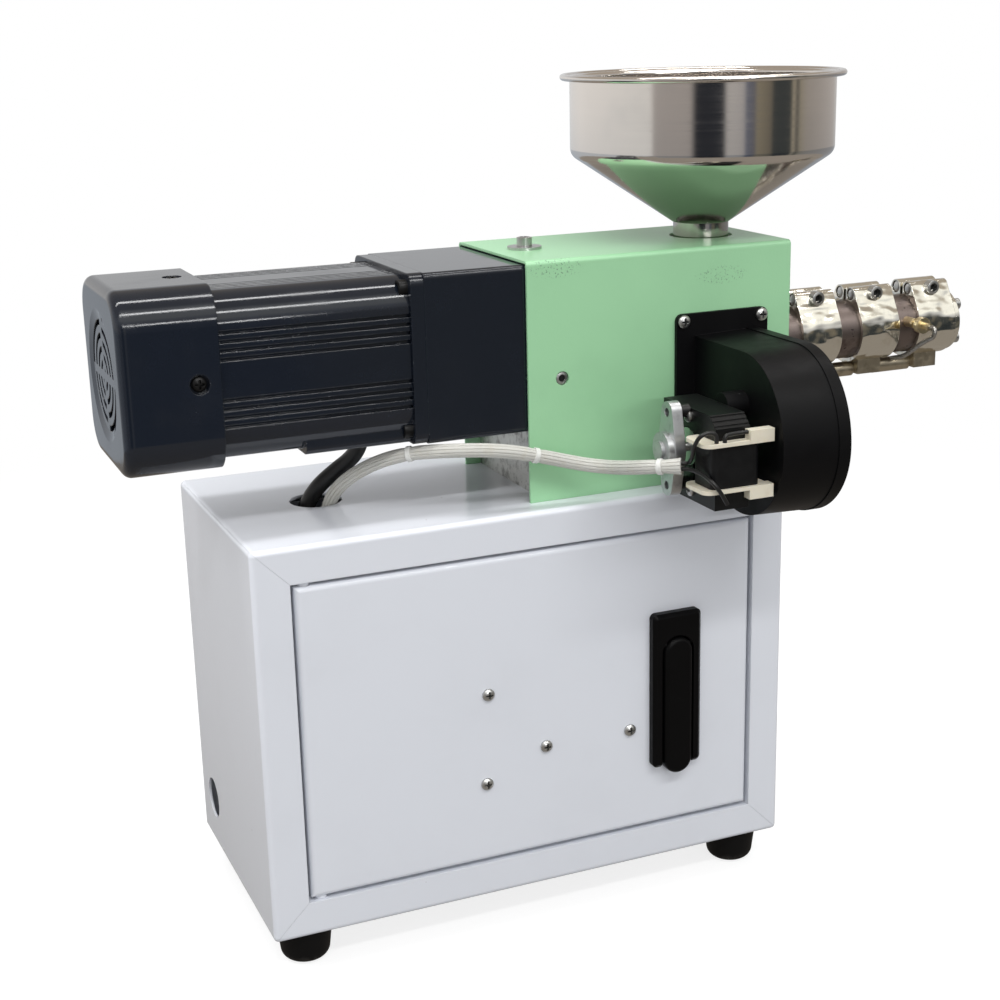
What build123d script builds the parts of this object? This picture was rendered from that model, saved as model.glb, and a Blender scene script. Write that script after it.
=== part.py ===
from build123d import *
import os
from math import asin, degrees, radians, tan

# Benchtop single screw extruder: a sheet-metal cabinet on rubber feet carries a gear motor,
# a covered feed housing with hopper and cooling blower, and a heated barrel.
# Millimetres. Origin on the floor under the middle of the cabinet, +X along the barrel
# towards the die, -Y towards the door, +Z up.

# General
fit = 0.2
overrun = 6.0
run_share = 0.45

# Cabinet
cabinet_length = 311.0
cabinet_depth = 156.0
cabinet_height = 219.5
cabinet_sheet = 1.5
cabinet_bend = 3.0
frame_width = 20.0
frame_lip = 12.0
cable_hole_diameter = 29.0
cable_hole_from_left = 58.5
cable_hole_from_front = 78.0
lead_hole_diameter = 24.0
lead_hole_from_back = 29.0
lead_hole_rise = 30.5

# Rubber feet
foot_height = 20.5
foot_top_diameter = 31.0
foot_bottom_diameter = 26.0
foot_round = 6.0
foot_bolt_diameter = 5.5
foot_inset_x = 21.5
foot_inset_y = 19.0

# Door and hinge pins
door_gap = 2.0
door_depth = 14.0
door_sheet = 1.5
door_bend = 3.0
hinge_inset = 6.0
hinge_setback = 5.0
hinge_pin_diameter = 6.4
hinge_pin_engagement = 6.0

# Swing handle
handle_width = 30.4
handle_height = 92.5
handle_thickness = 6.0
handle_corner = 3.0
handle_chamfer = 2.0
handle_floor = 1.0
handle_from_right = 49.0
handle_rise = 82.8
recess_width = 20.0
recess_top_margin = 13.5
lever_width = 17.4
lever_thickness = 6.4
lever_overhang = 4.5
lever_gap = 0.5
lever_edge = 2.5
lever_lift_angle = 40.0
pivot_from_tip = 4.0
pivot_from_back = 2.2
trunnion_diameter = 3.0
trunnion_reach = 3.0

# Machine line on top of the cabinet
cover_from_left = 161.0
cover_from_front = 16.6
cover_length = 161.0
cover_width = 95.0
cover_height = 131.0
cover_sheet = 1.5
cover_bend = 2.5
cover_side_hole_diameter = 7.5
cover_top_hole_diameter = 6.0
mount_setback = 9.0
mount_thickness = 22.0
base_plate_thickness = 8.0
feed_block_length = 50.0
feed_block_setback = 4.0

# Gear motor
gearhead_size = 90.0
gearhead_length = 65.0
gearhead_clearance = 39.0
gearhead_edge = 3.0
shaft_offset = 17.0
shaft_diameter = 15.0
shaft_length = 42.0
flange_thickness = 7.5
flange_corner = 6.0
stator_size = 86.0
stator_length = 101.0
stator_corner = 18.0
groove_width = 1.8
groove_depth = 2.0
groove_shares = (0.24, 0.345, 0.45, 0.555)
outlet_length = 57.5
outlet_width = 48.0
outlet_setback = 4.0
outlet_drop = 1.5
outlet_round = 4.0
rear_shaft_diameter = 10.0
cowl_size = 94.0
cowl_length = 50.0
cowl_wall = 2.5
cowl_corner = 19.0
cowl_edge = 5.0
cowl_overlap = 18.0
cowl_pocket_diameter = 10.0
cowl_pocket_setback = 11.0
dish_diameter = 68.0
dish_depth = 1.2
grille_diameter = 57.0
grille_slot = 2.8
grille_spoke = 4.5
grille_ring_shares = (1.0, 0.76, 0.52, 0.28)
fan_diameter = 72.0
fan_width = 18.0
fan_hub_diameter = 26.0
fan_blade = 2.0
fan_blades = 8
fan_clearance = 6.0

# Hopper
hopper_from_cover_end = 30.5
hopper_rim_diameter = 159.5
hopper_diameter = 148.5
hopper_rim_rise = 91.0
hopper_bead_diameter = 3.4
hopper_rim_bend = 1.6
hopper_knuckle = 6.0
hopper_cone_rise = 8.0
hopper_cone_height = 39.0
hopper_wall = 1.5
neck_diameter = 31.5
neck_wall = 2.0
neck_hole_gap = 2.2
neck_seat_depth = 12.0
throat_diameter = 20.0

# Barrel, screw and die
barrel_diameter = 35.0
barrel_bore = 20.0
barrel_overhang = 137.5
screw_shank_diameter = 24.0
screw_shank_length = 66.0
screw_socket_depth = 18.0
die_diameter = 38.0
die_thickness = 3.0
nozzle_diameter = 14.0
nozzle_length = 6.0
nozzle_bore = 4.0

# Heater bands
band_count = 3
band_width = 26.5
band_gap = 14.5
band_wall = 2.4
band_end_gap = 0.8
band_split = 2.5
ear_diameter = 9.0
ear_wall = 0.9
ear_rise = 1.6
terminal_length = 16.0
terminal_width = 17.0
terminal_drop = 7.0
heater_lead_diameter = 9.0
probe_diameter = 4.2
probe_length = 22.0
probe_nut_diameter = 6.2
probe_nut_length = 8.0
probe_ring_diameter = 9.6
probe_ring_start = 12.0
probe_ring_length = 4.2
probe_rise = 4.0

# Blower
blower_flange_width = 57.4
blower_flange_height = 66.0
blower_flange_thickness = 2.5
blower_flange_from_cover_end = 15.7
blower_flange_drop = 35.5
blower_flange_corner = 4.0
blower_reach = 53.6
blower_drop = 31.0
blower_width = 32.5
blower_wall = 2.0
blower_flare = 1.2
blower_side_inset = 11.1
blower_boss_diameter = 14.0
blower_boss_length = 12.5
blower_shaft_hole_diameter = 8.0
volute_top = 47.0
volute_front = 41.5
volute_bottom = 40.7
duct_drop = 9.0
blower_rim = 0.5
blower_cover_thickness = 7.6
blower_cover_edge = 1.0
inlet_diameter = 46.0
wheel_diameter = 64.0
wheel_width = 24.0
wheel_disc = 2.0
wheel_blade_depth = 6.0
wheel_blade = 1.0
wheel_blades = 24
wheel_hub_diameter = 14.0
blower_shaft_diameter = 5.0
rotor_diameter = 20.0
rotor_gap = 0.5
core_thickness = 20.0
core_height = 49.0
core_below_axis = 28.0
core_front = 29.0
core_back = 26.0
core_leg = 12.0
core_lower_yoke = 10.5
core_upper_yoke = 12.2
core_corner = 6.0
core_groove = 1.1
core_groove_shares = (0.15, 0.5, 0.85)
pole_depth = 11.0
coil_margin = 4.0
coil_round = 3.0
bobbin_flange = 2.0
bobbin_margin = 9.0
bobbin_corner = 5.0
bobbin_block_length = 14.0
bobbin_block_height = 7.0
bobbin_block_overhang = 2.0
bracket_thickness = 6.0
bracket_ear_pitch = 39.0
bracket_ear_diameter = 11.4
bracket_ear_hole_diameter = 4.6
bracket_ear_hole_depth = 4.0
bracket_middle_diameter = 20.0
bracket_boss_diameter = 18.6
bracket_boss_length = 3.4
bracket_cap_diameter = 9.4
bracket_cap_length = 1.9
bracket_standoff = 6.3
bracket_post_diameter = 7.0

# Cables and their routes, from the middle of the cable hole in the cabinet top
cable_diameter = 9.0
sleeve_diameter = 7.6
wire_diameter = 2.2
probe_lead_diameter = 2.8
cable_route = (
    (-7, 6, -14),
    (-4, 5, -3),
    (2, 2, 7),
    (11, -3, 16),
    (19, -10, 24),
    (22.5, -14, 32),
    (23.5, -15.5, 38.8),
)
sleeve_route = (
    (4, -3, -14),
    (5, -5, -3),
    (9.5, -12, 10),
    (21, -30, 24),
    (36, -46, 32.5),
    (56, -61, 35.2),
    (82, -69, 34),
    (105, -70.5, 28.3),
    (128, -73, 21.5),
    (139, -84, 21),
    (141, -105, 25.5),
    (145, -122, 29.5),
    (157, -130, 30.2),
)
upper_wire_route = (
    (157.12, -130.08, 31.7),
    (160.3, -132.2, 31.9),
    (159, -138, 36.5),
    (157.5, -142, 43),
    (158.5, -146, 49),
    (163, -147, 51),
    (167.5, -147.5, 49.5),
    (167.5, -147.5, 44.85),
)
lower_wire_route = (
    (157.12, -130.08, 28.7),
    (160.3, -132.2, 28.9),
    (163, -141, 28),
    (163.5, -152, 25.5),
    (168, -152.4, 19.5),
    (171.5, -152.2, 13.5),
)
block_wire_route = (
    (172, -148, 44.85),
    (172, -148, 48.4),
    (178, -146.8, 48.6),
    (185.95, -146.8, 48.6),
)

# Route of the probe's lead, from the probe's end
probe_lead_route = (
    (0, -0.05, 0),
    (0, -4.6, 0),
    (-0.6, -5, -4.8),
    (-1.8, 5.5, -10.5),
    (-1.3, 17.4, -18.2),
    (-0.3, 25.4, -22),
    (-1.1, 35.2, -24.5),
)

# Worked-out places
cabinet_left = -cabinet_length / 2
cabinet_front = -cabinet_depth / 2
cabinet_back = cabinet_depth / 2
cabinet_bottom = foot_height
cabinet_top_z = cabinet_bottom + cabinet_height
opening_length = cabinet_length - 2 * frame_width
opening_height = cabinet_height - 2 * frame_width
opening_z = cabinet_bottom + cabinet_height / 2
door_length = opening_length - 2 * door_gap
door_height = opening_height - 2 * door_gap
door_bottom = opening_z - door_height / 2
hinge_x = -door_length / 2 + hinge_inset
hinge_y = cabinet_front + hinge_setback
handle_x = door_length / 2 - handle_from_right
handle_z = door_bottom + handle_rise
recess_arc_z = handle_z + handle_height / 2 - recess_top_margin - recess_width / 2
lever_tip_z = recess_arc_z + lever_width / 2
lever_low_z = handle_z - handle_height / 2 - lever_overhang
lever_back_y = cabinet_front - handle_floor - lever_gap
lever_pivot_z = lever_tip_z - pivot_from_tip
lever_pivot_y = lever_back_y - pivot_from_back
cable_hole_x = cabinet_left + cable_hole_from_left
cable_hole_y = cabinet_front + cable_hole_from_front
cover_start = cabinet_left + cover_from_left
cover_end = cover_start + cover_length
cover_front = cabinet_front + cover_from_front
cover_top = cabinet_top_z + cover_height
machine_y = cover_front + cover_width / 2
inside_width = cover_width - 2 * cover_sheet - 2 * fit
inside_top = cover_top - cover_sheet - fit
base_plate_top = cabinet_top_z + base_plate_thickness
mount_x = cover_start + mount_setback
feed_block_end = cover_end - feed_block_setback
feed_block_start = feed_block_end - feed_block_length
motor_z = cabinet_top_z + gearhead_clearance + gearhead_size / 2
barrel_z = motor_z - shaft_offset
gearhead_start = mount_x - gearhead_length
flange_start = gearhead_start - flange_thickness
stator_start = flange_start - stator_length
spigot_start = stator_start - cowl_overlap
cowl_start = stator_start - cowl_length
fan_start = cowl_start + cowl_wall + fan_clearance
hopper_x = cover_end - hopper_from_cover_end
hopper_rim_top = cover_top + hopper_rim_rise
cone_start = cover_top + hopper_cone_rise
cone_end = cone_start + hopper_cone_height
barrel_end = cover_end + barrel_overhang
band_radius = barrel_diameter / 2 + fit + band_wall
band_pitch = band_width + band_gap
band_start = barrel_end - band_end_gap - band_width - (band_count - 1) * band_pitch
band_starts = [band_start + index * band_pitch for index in range(band_count)]
heater_lead_z = barrel_z - band_radius - fit - heater_lead_diameter / 2
probe_x = band_starts[-1] - band_gap / 2
probe_z = barrel_z + probe_rise
probe_end_y = machine_y - barrel_diameter / 2 - probe_length
flange_x = cover_end - blower_flange_from_cover_end - blower_flange_width / 2
flange_top = cover_top - blower_flange_drop
blower_x = flange_x - blower_flange_width / 2 + blower_side_inset
blower_y = cover_front - blower_reach
blower_z = barrel_z - blower_drop
blower_end = blower_x + blower_width
core_end = blower_x - blower_boss_length
core_start = core_end - core_thickness
core_middle_x = (core_start + core_end) / 2
core_bottom = blower_z - core_below_axis
core_top = core_bottom + core_height
leg_y = blower_y - core_front + core_leg / 2
window_low = core_bottom + core_lower_yoke
window_high = core_top - core_upper_yoke
bracket_x = core_start - bracket_standoff - bracket_thickness


def volute(inset):
    """Outline of the scroll and its outlet duct in the Y-Z plane, drawn in by inset."""
    top = volute_top - inset
    front = volute_front - inset
    bottom = volute_bottom - inset
    drop = duct_drop - inset
    tongue = degrees(asin(drop / bottom))
    centre = (blower_y, blower_z)
    with BuildSketch() as outline:
        with BuildLine():
            Line((cover_front, blower_z + top), (blower_y, blower_z + top))
            EllipticalCenterArc(centre, front, top, start_angle=90, arc_size=90)
            EllipticalCenterArc(centre, front, bottom, start_angle=180, arc_size=90)
            throat = CenterArc(centre, bottom, 270, 90 - tongue)
            Line(throat @ 1, (cover_front, blower_z - drop))
            Line((cover_front, blower_z - drop), (cover_front, blower_z + top))
        make_face()
    return outline.sketch


def grille_quarter(staggered):
    """One quarter of the grille's arcs, drawn in by half a pitch where staggered."""
    pitch = (grille_ring_shares[0] - grille_ring_shares[1]) * grille_diameter / 2
    reach = grille_diameter / 2
    with BuildSketch() as arcs:
        for ring_share in grille_ring_shares:
            ring_radius = ring_share * reach - staggered * pitch / 2
            Circle(ring_radius)
            Circle(ring_radius - grille_slot, mode=Mode.SUBTRACT)
        with Locations((grille_spoke / 2, grille_spoke / 2)):
            Rectangle(reach, reach, align=Align.MIN, mode=Mode.INTERSECT)
    return arcs.sketch


def bend_radii(points):
    """Largest tangent arcs that the runs beside each corner leave room for."""
    corners = [Vector(*point) for point in points]
    radii = []
    for before, corner, after in zip(corners, corners[1:], corners[2:]):
        turn = (corner - before).get_angle(after - corner)
        shorter = min((corner - before).length, (after - corner).length)
        radii.append(shorter * run_share / tan(radians(turn) / 2))
    return radii


def tube(points, diameter):
    """Round cable along straight runs joined by tangent arcs."""
    with BuildPart() as cable:
        with BuildLine() as route:
            FilletPolyline(*points, radius=bend_radii(points))
        with BuildSketch(Plane(route.line @ 0, z_dir=route.line % 0)):
            Circle(diameter / 2)
        sweep(path=route.line)
    return cable.part


def from_cable_hole(route):
    """A route's points in the frame."""
    return [(cable_hole_x + x, cable_hole_y + y, cabinet_top_z + z) for x, y, z in route]


def ear_shoulder(ear_y, ear_z):
    """Band sheet that leaves the ring smoothly and rolls into an ear."""
    with BuildSketch() as shoulder:
        Circle(band_radius)
        with Locations((ear_y, ear_z)):
            Circle(ear_diameter / 2)
        make_hull()
    return shoulder.sketch


def from_probe_end(route):
    """A route's points in the frame."""
    return [(probe_x + x, probe_end_y + y, probe_z + z) for x, y, z in route]


# Cabinet: one folded shell, split along its mitres into four wrapped panels
with BuildPart() as cabinet_shell:
    with BuildSketch(Plane.XY.offset(cabinet_bottom)):
        Rectangle(cabinet_length, cabinet_depth)
    extrude(amount=cabinet_height)
    fillet(cabinet_shell.edges(), cabinet_bend)
    with BuildSketch(Plane.XY.offset(cabinet_bottom + cabinet_sheet)):
        Rectangle(cabinet_length - 2 * cabinet_sheet, cabinet_depth - 2 * cabinet_sheet)
    extrude(amount=cabinet_height - 2 * cabinet_sheet, mode=Mode.SUBTRACT)
    with BuildSketch(Plane.XZ) as lip_section:
        with Locations((0, opening_z)):
            Rectangle(opening_length + 2 * cabinet_sheet, opening_height + 2 * cabinet_sheet)
    extrude(amount=cabinet_depth / 2 - cabinet_sheet, both=True)
    extrude(lip_section.sketch, amount=cabinet_depth / 2 - frame_lip, both=True, mode=Mode.SUBTRACT)
    with BuildSketch(Plane.XZ):
        with Locations((0, opening_z)):
            Rectangle(opening_length, opening_height)
    extrude(amount=cabinet_depth / 2 + overrun, both=True, mode=Mode.SUBTRACT)

outer_x = cabinet_length / 2
inner_x = opening_length / 2
outer_low = cabinet_bottom
outer_high = cabinet_top_z
inner_low = opening_z - opening_height / 2
inner_high = opening_z + opening_height / 2

with BuildPart() as cabinet_top:
    add(cabinet_shell.part)
    with BuildSketch(Plane.XZ):
        Polygon(
            (-outer_x, outer_high),
            (outer_x, outer_high),
            (inner_x, inner_high),
            (-inner_x, inner_high),
            align=None,
        )
    extrude(amount=cabinet_depth, both=True, mode=Mode.INTERSECT)
    with Locations((cable_hole_x, cable_hole_y, cabinet_top_z)):
        Hole(cable_hole_diameter / 2, depth=cabinet_sheet + overrun)

with BuildPart() as cabinet_base:
    add(cabinet_shell.part)
    with BuildSketch(Plane.XZ):
        Polygon(
            (-outer_x, outer_low),
            (outer_x, outer_low),
            (inner_x, inner_low),
            (-inner_x, inner_low),
            align=None,
        )
    extrude(amount=cabinet_depth, both=True, mode=Mode.INTERSECT)
    with Locations((0, 0, cabinet_bottom + cabinet_sheet)):
        with GridLocations(cabinet_length - 2 * foot_inset_x, cabinet_depth - 2 * foot_inset_y, 2, 2):
            Hole(foot_bolt_diameter / 2, depth=cabinet_sheet + overrun)

with BuildPart() as cabinet_left_side:
    add(cabinet_shell.part)
    with BuildSketch(Plane.XZ):
        Polygon(
            (-outer_x, outer_low),
            (-outer_x, outer_high),
            (-inner_x, inner_high),
            (-inner_x, inner_low),
            align=None,
        )
    extrude(amount=cabinet_depth, both=True, mode=Mode.INTERSECT)
    with BuildSketch(Plane.YZ.offset(cabinet_left - overrun)):
        with Locations((cabinet_back - lead_hole_from_back, cabinet_bottom + lead_hole_rise)):
            Circle(lead_hole_diameter / 2)
    extrude(amount=cabinet_sheet + 2 * overrun, mode=Mode.SUBTRACT)

with BuildPart() as cabinet_right_side:
    add(cabinet_shell.part)
    with BuildSketch(Plane.XZ):
        Polygon(
            (outer_x, outer_low),
            (outer_x, outer_high),
            (inner_x, inner_high),
            (inner_x, inner_low),
            align=None,
        )
    extrude(amount=cabinet_depth, both=True, mode=Mode.INTERSECT)

with BuildPart() as cabinet_back_panel:
    with BuildSketch(Plane.XZ.offset(-cabinet_back)):
        with Locations((0, opening_z)):
            Rectangle(opening_length, opening_height)
    extrude(amount=frame_lip)
    fillet(cabinet_back_panel.faces().sort_by(Axis.Y)[-1].edges(), door_bend)
    with BuildSketch(Plane.XZ.offset(-cabinet_back + frame_lip)):
        with Locations((0, opening_z)):
            Rectangle(opening_length - 2 * door_sheet, opening_height - 2 * door_sheet)
    extrude(amount=-(frame_lip - door_sheet), mode=Mode.SUBTRACT)

# Rubber feet
foot_places = {
    "foot_front_left": (-1, -1),
    "foot_front_right": (1, -1),
    "foot_back_left": (-1, 1),
    "foot_back_right": (1, 1),
}
feet = {}
for foot_name, (side_x, side_y) in foot_places.items():
    foot_x = side_x * (cabinet_length / 2 - foot_inset_x)
    foot_y = side_y * (cabinet_depth / 2 - foot_inset_y)
    with BuildPart() as foot:
        with Locations((foot_x, foot_y, 0)):
            Cone(
                foot_bottom_diameter / 2,
                foot_top_diameter / 2,
                foot_height,
                align=(Align.CENTER, Align.CENTER, Align.MIN),
            )
        fillet(foot.edges().sort_by(Axis.Z)[0], foot_round)
        with Locations((foot_x, foot_y, foot_height)):
            Hole(foot_bolt_diameter / 2, depth=foot_height + overrun)
    feet[foot_name] = foot

# Door: a folded pan on two pivot pins
with BuildPart() as door_panel:
    with BuildSketch(Plane.XZ.offset(-cabinet_front)):
        with Locations((0, opening_z)):
            Rectangle(door_length, door_height)
    extrude(amount=-door_depth)
    fillet(door_panel.faces().sort_by(Axis.Y)[0].edges(), door_bend)
    with BuildSketch(Plane.XZ.offset(-cabinet_front - door_depth)):
        with Locations((0, opening_z)):
            Rectangle(door_length - 2 * door_sheet, door_height - 2 * door_sheet)
    extrude(amount=door_depth - door_sheet, mode=Mode.SUBTRACT)
    with BuildSketch(Plane.XY.offset(door_bottom - overrun)):
        with Locations((hinge_x, hinge_y)):
            Circle(hinge_pin_diameter / 2 + fit)
    extrude(amount=door_height + 2 * overrun, mode=Mode.SUBTRACT)

with BuildPart() as hinge_pins:
    pin_length = door_gap + hinge_pin_engagement
    for pin_z in (opening_z - opening_height / 2, opening_z + opening_height / 2 - pin_length):
        with BuildSketch(Plane.XY.offset(pin_z)):
            with Locations((hinge_x, hinge_y)):
                Circle(hinge_pin_diameter / 2)
        extrude(amount=pin_length)

# Swing handle: a recessed base on the door and a lever that lifts on two trunnions
with BuildPart() as handle_base:
    with BuildSketch(Plane.XZ.offset(-cabinet_front)):
        with Locations((handle_x, handle_z)):
            RectangleRounded(handle_width, handle_height, handle_corner)
    extrude(amount=handle_thickness)
    chamfer(handle_base.faces().sort_by(Axis.Y)[0].edges(), handle_chamfer)
    recess_drop = recess_arc_z - (handle_z - handle_height / 2 - overrun)
    with BuildSketch(Plane.XZ.offset(-cabinet_front + handle_floor)):
        with Locations((handle_x, recess_arc_z)):
            Circle(recess_width / 2)
        with Locations((handle_x, recess_arc_z - recess_drop / 2)):
            Rectangle(recess_width, recess_drop)
    extrude(amount=handle_thickness, mode=Mode.SUBTRACT)
    with BuildSketch(Plane.YZ.offset(handle_x)):
        with Locations((lever_pivot_y, lever_pivot_z)):
            Circle(trunnion_diameter / 2 + fit)
    extrude(amount=recess_width / 2 + trunnion_reach + fit, both=True, mode=Mode.SUBTRACT)

with BuildPart() as handle_lever:
    lever_run = lever_tip_z - lever_low_z - lever_width
    with BuildSketch(Plane.XZ.offset(-lever_back_y)):
        with Locations((handle_x, (lever_tip_z + lever_low_z) / 2)):
            SlotCenterToCenter(lever_run, lever_width, rotation=90)
    extrude(amount=lever_thickness)
    fillet(handle_lever.faces().sort_by(Axis.Y)[0].edges(), lever_edge)
    heel_reach = pivot_from_back + lever_gap - fit
    with BuildSketch(Plane.YZ.offset(handle_x)):
        with Locations((lever_pivot_y, lever_pivot_z)):
            with PolarLocations(heel_reach + lever_width / 2, 1, start_angle=lever_lift_angle):
                Rectangle(lever_width, 2 * lever_width)
    extrude(amount=lever_width, both=True, mode=Mode.SUBTRACT)
    with BuildSketch(Plane.YZ.offset(handle_x)):
        with Locations((lever_pivot_y, lever_pivot_z)):
            Circle(trunnion_diameter / 2)
    extrude(amount=recess_width / 2 + trunnion_reach, both=True)

# Gear motor
with BuildPart() as gearhead:
    with BuildSketch(Plane.YZ.offset(gearhead_start)):
        with Locations((machine_y, motor_z)):
            RectangleRounded(gearhead_size, gearhead_size, gearhead_edge)
    extrude(amount=gearhead_length)
    with BuildSketch(Plane.YZ.offset(mount_x)):
        with Locations((machine_y, barrel_z)):
            Circle(shaft_diameter / 2)
    extrude(amount=shaft_length)

with BuildPart() as motor_flange:
    with BuildSketch(Plane.YZ.offset(flange_start)):
        with Locations((machine_y, motor_z)):
            RectangleRounded(gearhead_size, gearhead_size, flange_corner)
    extrude(amount=flange_thickness)

with BuildPart() as motor_body:
    with BuildSketch(Plane.YZ.offset(stator_start)):
        with Locations((machine_y, motor_z)):
            RectangleRounded(stator_size, stator_size, stator_corner)
            with PolarLocations(stator_size / 2, 4):
                for groove_share in groove_shares:
                    groove_y = groove_share * stator_size / 2
                    with Locations((0, groove_y), (0, -groove_y)):
                        Rectangle(2 * groove_depth, groove_width, mode=Mode.SUBTRACT)
    extrude(amount=stator_length)
    outlet_low = motor_z - stator_size / 2 - outlet_drop
    with BuildSketch(Plane.YZ.offset(flange_start - outlet_length)):
        outlet_y = machine_y - stator_size / 2 + outlet_setback + outlet_width / 2
        with Locations((outlet_y, (outlet_low + motor_z) / 2)):
            RectangleRounded(outlet_width, motor_z - outlet_low, outlet_round)
    extrude(amount=outlet_length)
    spigot_size = cowl_size - 2 * cowl_wall - 2 * fit
    with BuildSketch(Plane.YZ.offset(spigot_start)):
        with Locations((machine_y, motor_z)):
            RectangleRounded(spigot_size, spigot_size, cowl_corner - cowl_wall)
    extrude(amount=cowl_overlap)
    with BuildSketch(Plane.YZ.offset(fan_start)):
        with Locations((machine_y, motor_z)):
            Circle(rear_shaft_diameter / 2)
    extrude(amount=spigot_start - fan_start)

with BuildPart() as motor_fan_cowl:
    with BuildSketch(Plane.YZ.offset(cowl_start)):
        with Locations((machine_y, motor_z)):
            RectangleRounded(cowl_size, cowl_size, cowl_corner)
    extrude(amount=cowl_length)
    fillet(motor_fan_cowl.faces().sort_by(Axis.X)[0].edges(), cowl_edge)
    with BuildSketch(Plane.YZ.offset(cowl_start + cowl_wall)):
        with Locations((machine_y, motor_z)):
            RectangleRounded(cowl_size - 2 * cowl_wall, cowl_size - 2 * cowl_wall, cowl_corner - cowl_wall)
    extrude(amount=cowl_length, mode=Mode.SUBTRACT)
    for dish_x, dish_size in ((cowl_start, dish_diameter), (cowl_start + dish_depth, grille_diameter)):
        with BuildSketch(Plane.YZ.offset(dish_x)):
            with Locations((machine_y, motor_z)):
                Circle(dish_size / 2)
    loft(mode=Mode.SUBTRACT)
    with BuildSketch(Plane.YZ.offset(cowl_start)):
        with Locations((machine_y, motor_z)):
            for quarter in range(4):
                add(grille_quarter(quarter % 2), rotation=quarter * 90)
    extrude(amount=cowl_wall + overrun, mode=Mode.SUBTRACT)
    for pocket_plane in (Plane.XZ.offset(-machine_y), Plane.XY.offset(motor_z)):
        pocket_side = motor_z if pocket_plane.z_dir.Y else machine_y
        with BuildSketch(pocket_plane):
            with Locations((stator_start - cowl_pocket_setback, pocket_side)):
                Circle(cowl_pocket_diameter / 2)
        extrude(amount=cowl_size, both=True, mode=Mode.SUBTRACT)

with BuildPart() as motor_fan:
    with BuildSketch(Plane.YZ.offset(fan_start)):
        with Locations((machine_y, motor_z)):
            Circle(fan_hub_diameter / 2)
            blade_length = (fan_diameter - fan_hub_diameter) / 2 + fan_blade
            with PolarLocations(fan_diameter / 2 - blade_length / 2, fan_blades):
                Rectangle(blade_length, fan_blade)
            Circle(rear_shaft_diameter / 2 + fit, mode=Mode.SUBTRACT)
    extrude(amount=fan_width)

# Feed housing
with BuildPart() as base_plate:
    with BuildSketch(Plane.XY.offset(cabinet_top_z)):
        with Locations(((mount_x + feed_block_end) / 2, machine_y)):
            Rectangle(feed_block_end - mount_x, inside_width)
    extrude(amount=base_plate_thickness)

with BuildPart() as mount_plate:
    with BuildSketch(Plane.XY.offset(base_plate_top)):
        with Locations((mount_x + mount_thickness / 2, machine_y)):
            Rectangle(mount_thickness, inside_width)
    extrude(amount=inside_top - base_plate_top)
    with BuildSketch(Plane.YZ.offset(mount_x)):
        with Locations((machine_y, barrel_z)):
            Circle(shaft_diameter / 2 + fit)
    extrude(amount=mount_thickness, mode=Mode.SUBTRACT)

with BuildPart() as feed_block:
    with BuildSketch(Plane.XY.offset(base_plate_top)):
        with Locations(((feed_block_start + feed_block_end) / 2, machine_y)):
            Rectangle(feed_block_length, inside_width)
    extrude(amount=inside_top - base_plate_top)
    with BuildSketch(Plane.YZ.offset(feed_block_start)):
        with Locations((machine_y, barrel_z)):
            Circle(barrel_diameter / 2 + fit)
    extrude(amount=feed_block_length, mode=Mode.SUBTRACT)
    with BuildSketch(Plane.XY.offset(barrel_z)):
        with Locations((hopper_x, machine_y)):
            Circle(throat_diameter / 2)
    extrude(amount=inside_top - barrel_z, mode=Mode.SUBTRACT)
    with BuildSketch(Plane.XY.offset(inside_top - neck_seat_depth)):
        with Locations((hopper_x, machine_y)):
            Circle(neck_diameter / 2 + fit)
    extrude(amount=neck_seat_depth, mode=Mode.SUBTRACT)

with BuildPart() as housing_cover:
    with BuildSketch(Plane.YZ.offset(cover_start)):
        with Locations((machine_y, cabinet_top_z + cover_height / 2)):
            Rectangle(cover_width, cover_height)
    extrude(amount=cover_length)
    fillet(housing_cover.faces().sort_by(Axis.Z)[-1].edges().filter_by(Axis.X), cover_bend)
    with BuildSketch(Plane.YZ.offset(cover_start)):
        with Locations((machine_y, cabinet_top_z + (cover_height - cover_sheet) / 2)):
            Rectangle(cover_width - 2 * cover_sheet, cover_height - cover_sheet)
    extrude(amount=cover_length, mode=Mode.SUBTRACT)
    with Locations((hopper_x, machine_y, cover_top)):
        Hole(neck_diameter / 2 + neck_hole_gap, depth=cover_sheet + overrun)
    with Locations((mount_x + mount_thickness / 2, machine_y, cover_top)):
        Hole(cover_top_hole_diameter / 2, depth=cover_sheet + overrun)
    with BuildSketch(Plane.XZ.offset(-cover_front - overrun)):
        with Locations((mount_x + mount_thickness / 2, barrel_z)):
            Circle(cover_side_hole_diameter / 2)
        duct_height = volute_top + duct_drop - 2 * blower_wall
        with Locations((blower_x + blower_width / 2, blower_z + (volute_top - duct_drop) / 2)):
            Rectangle(blower_width - 2 * blower_wall, duct_height)
    extrude(amount=2 * overrun, mode=Mode.SUBTRACT)

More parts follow.
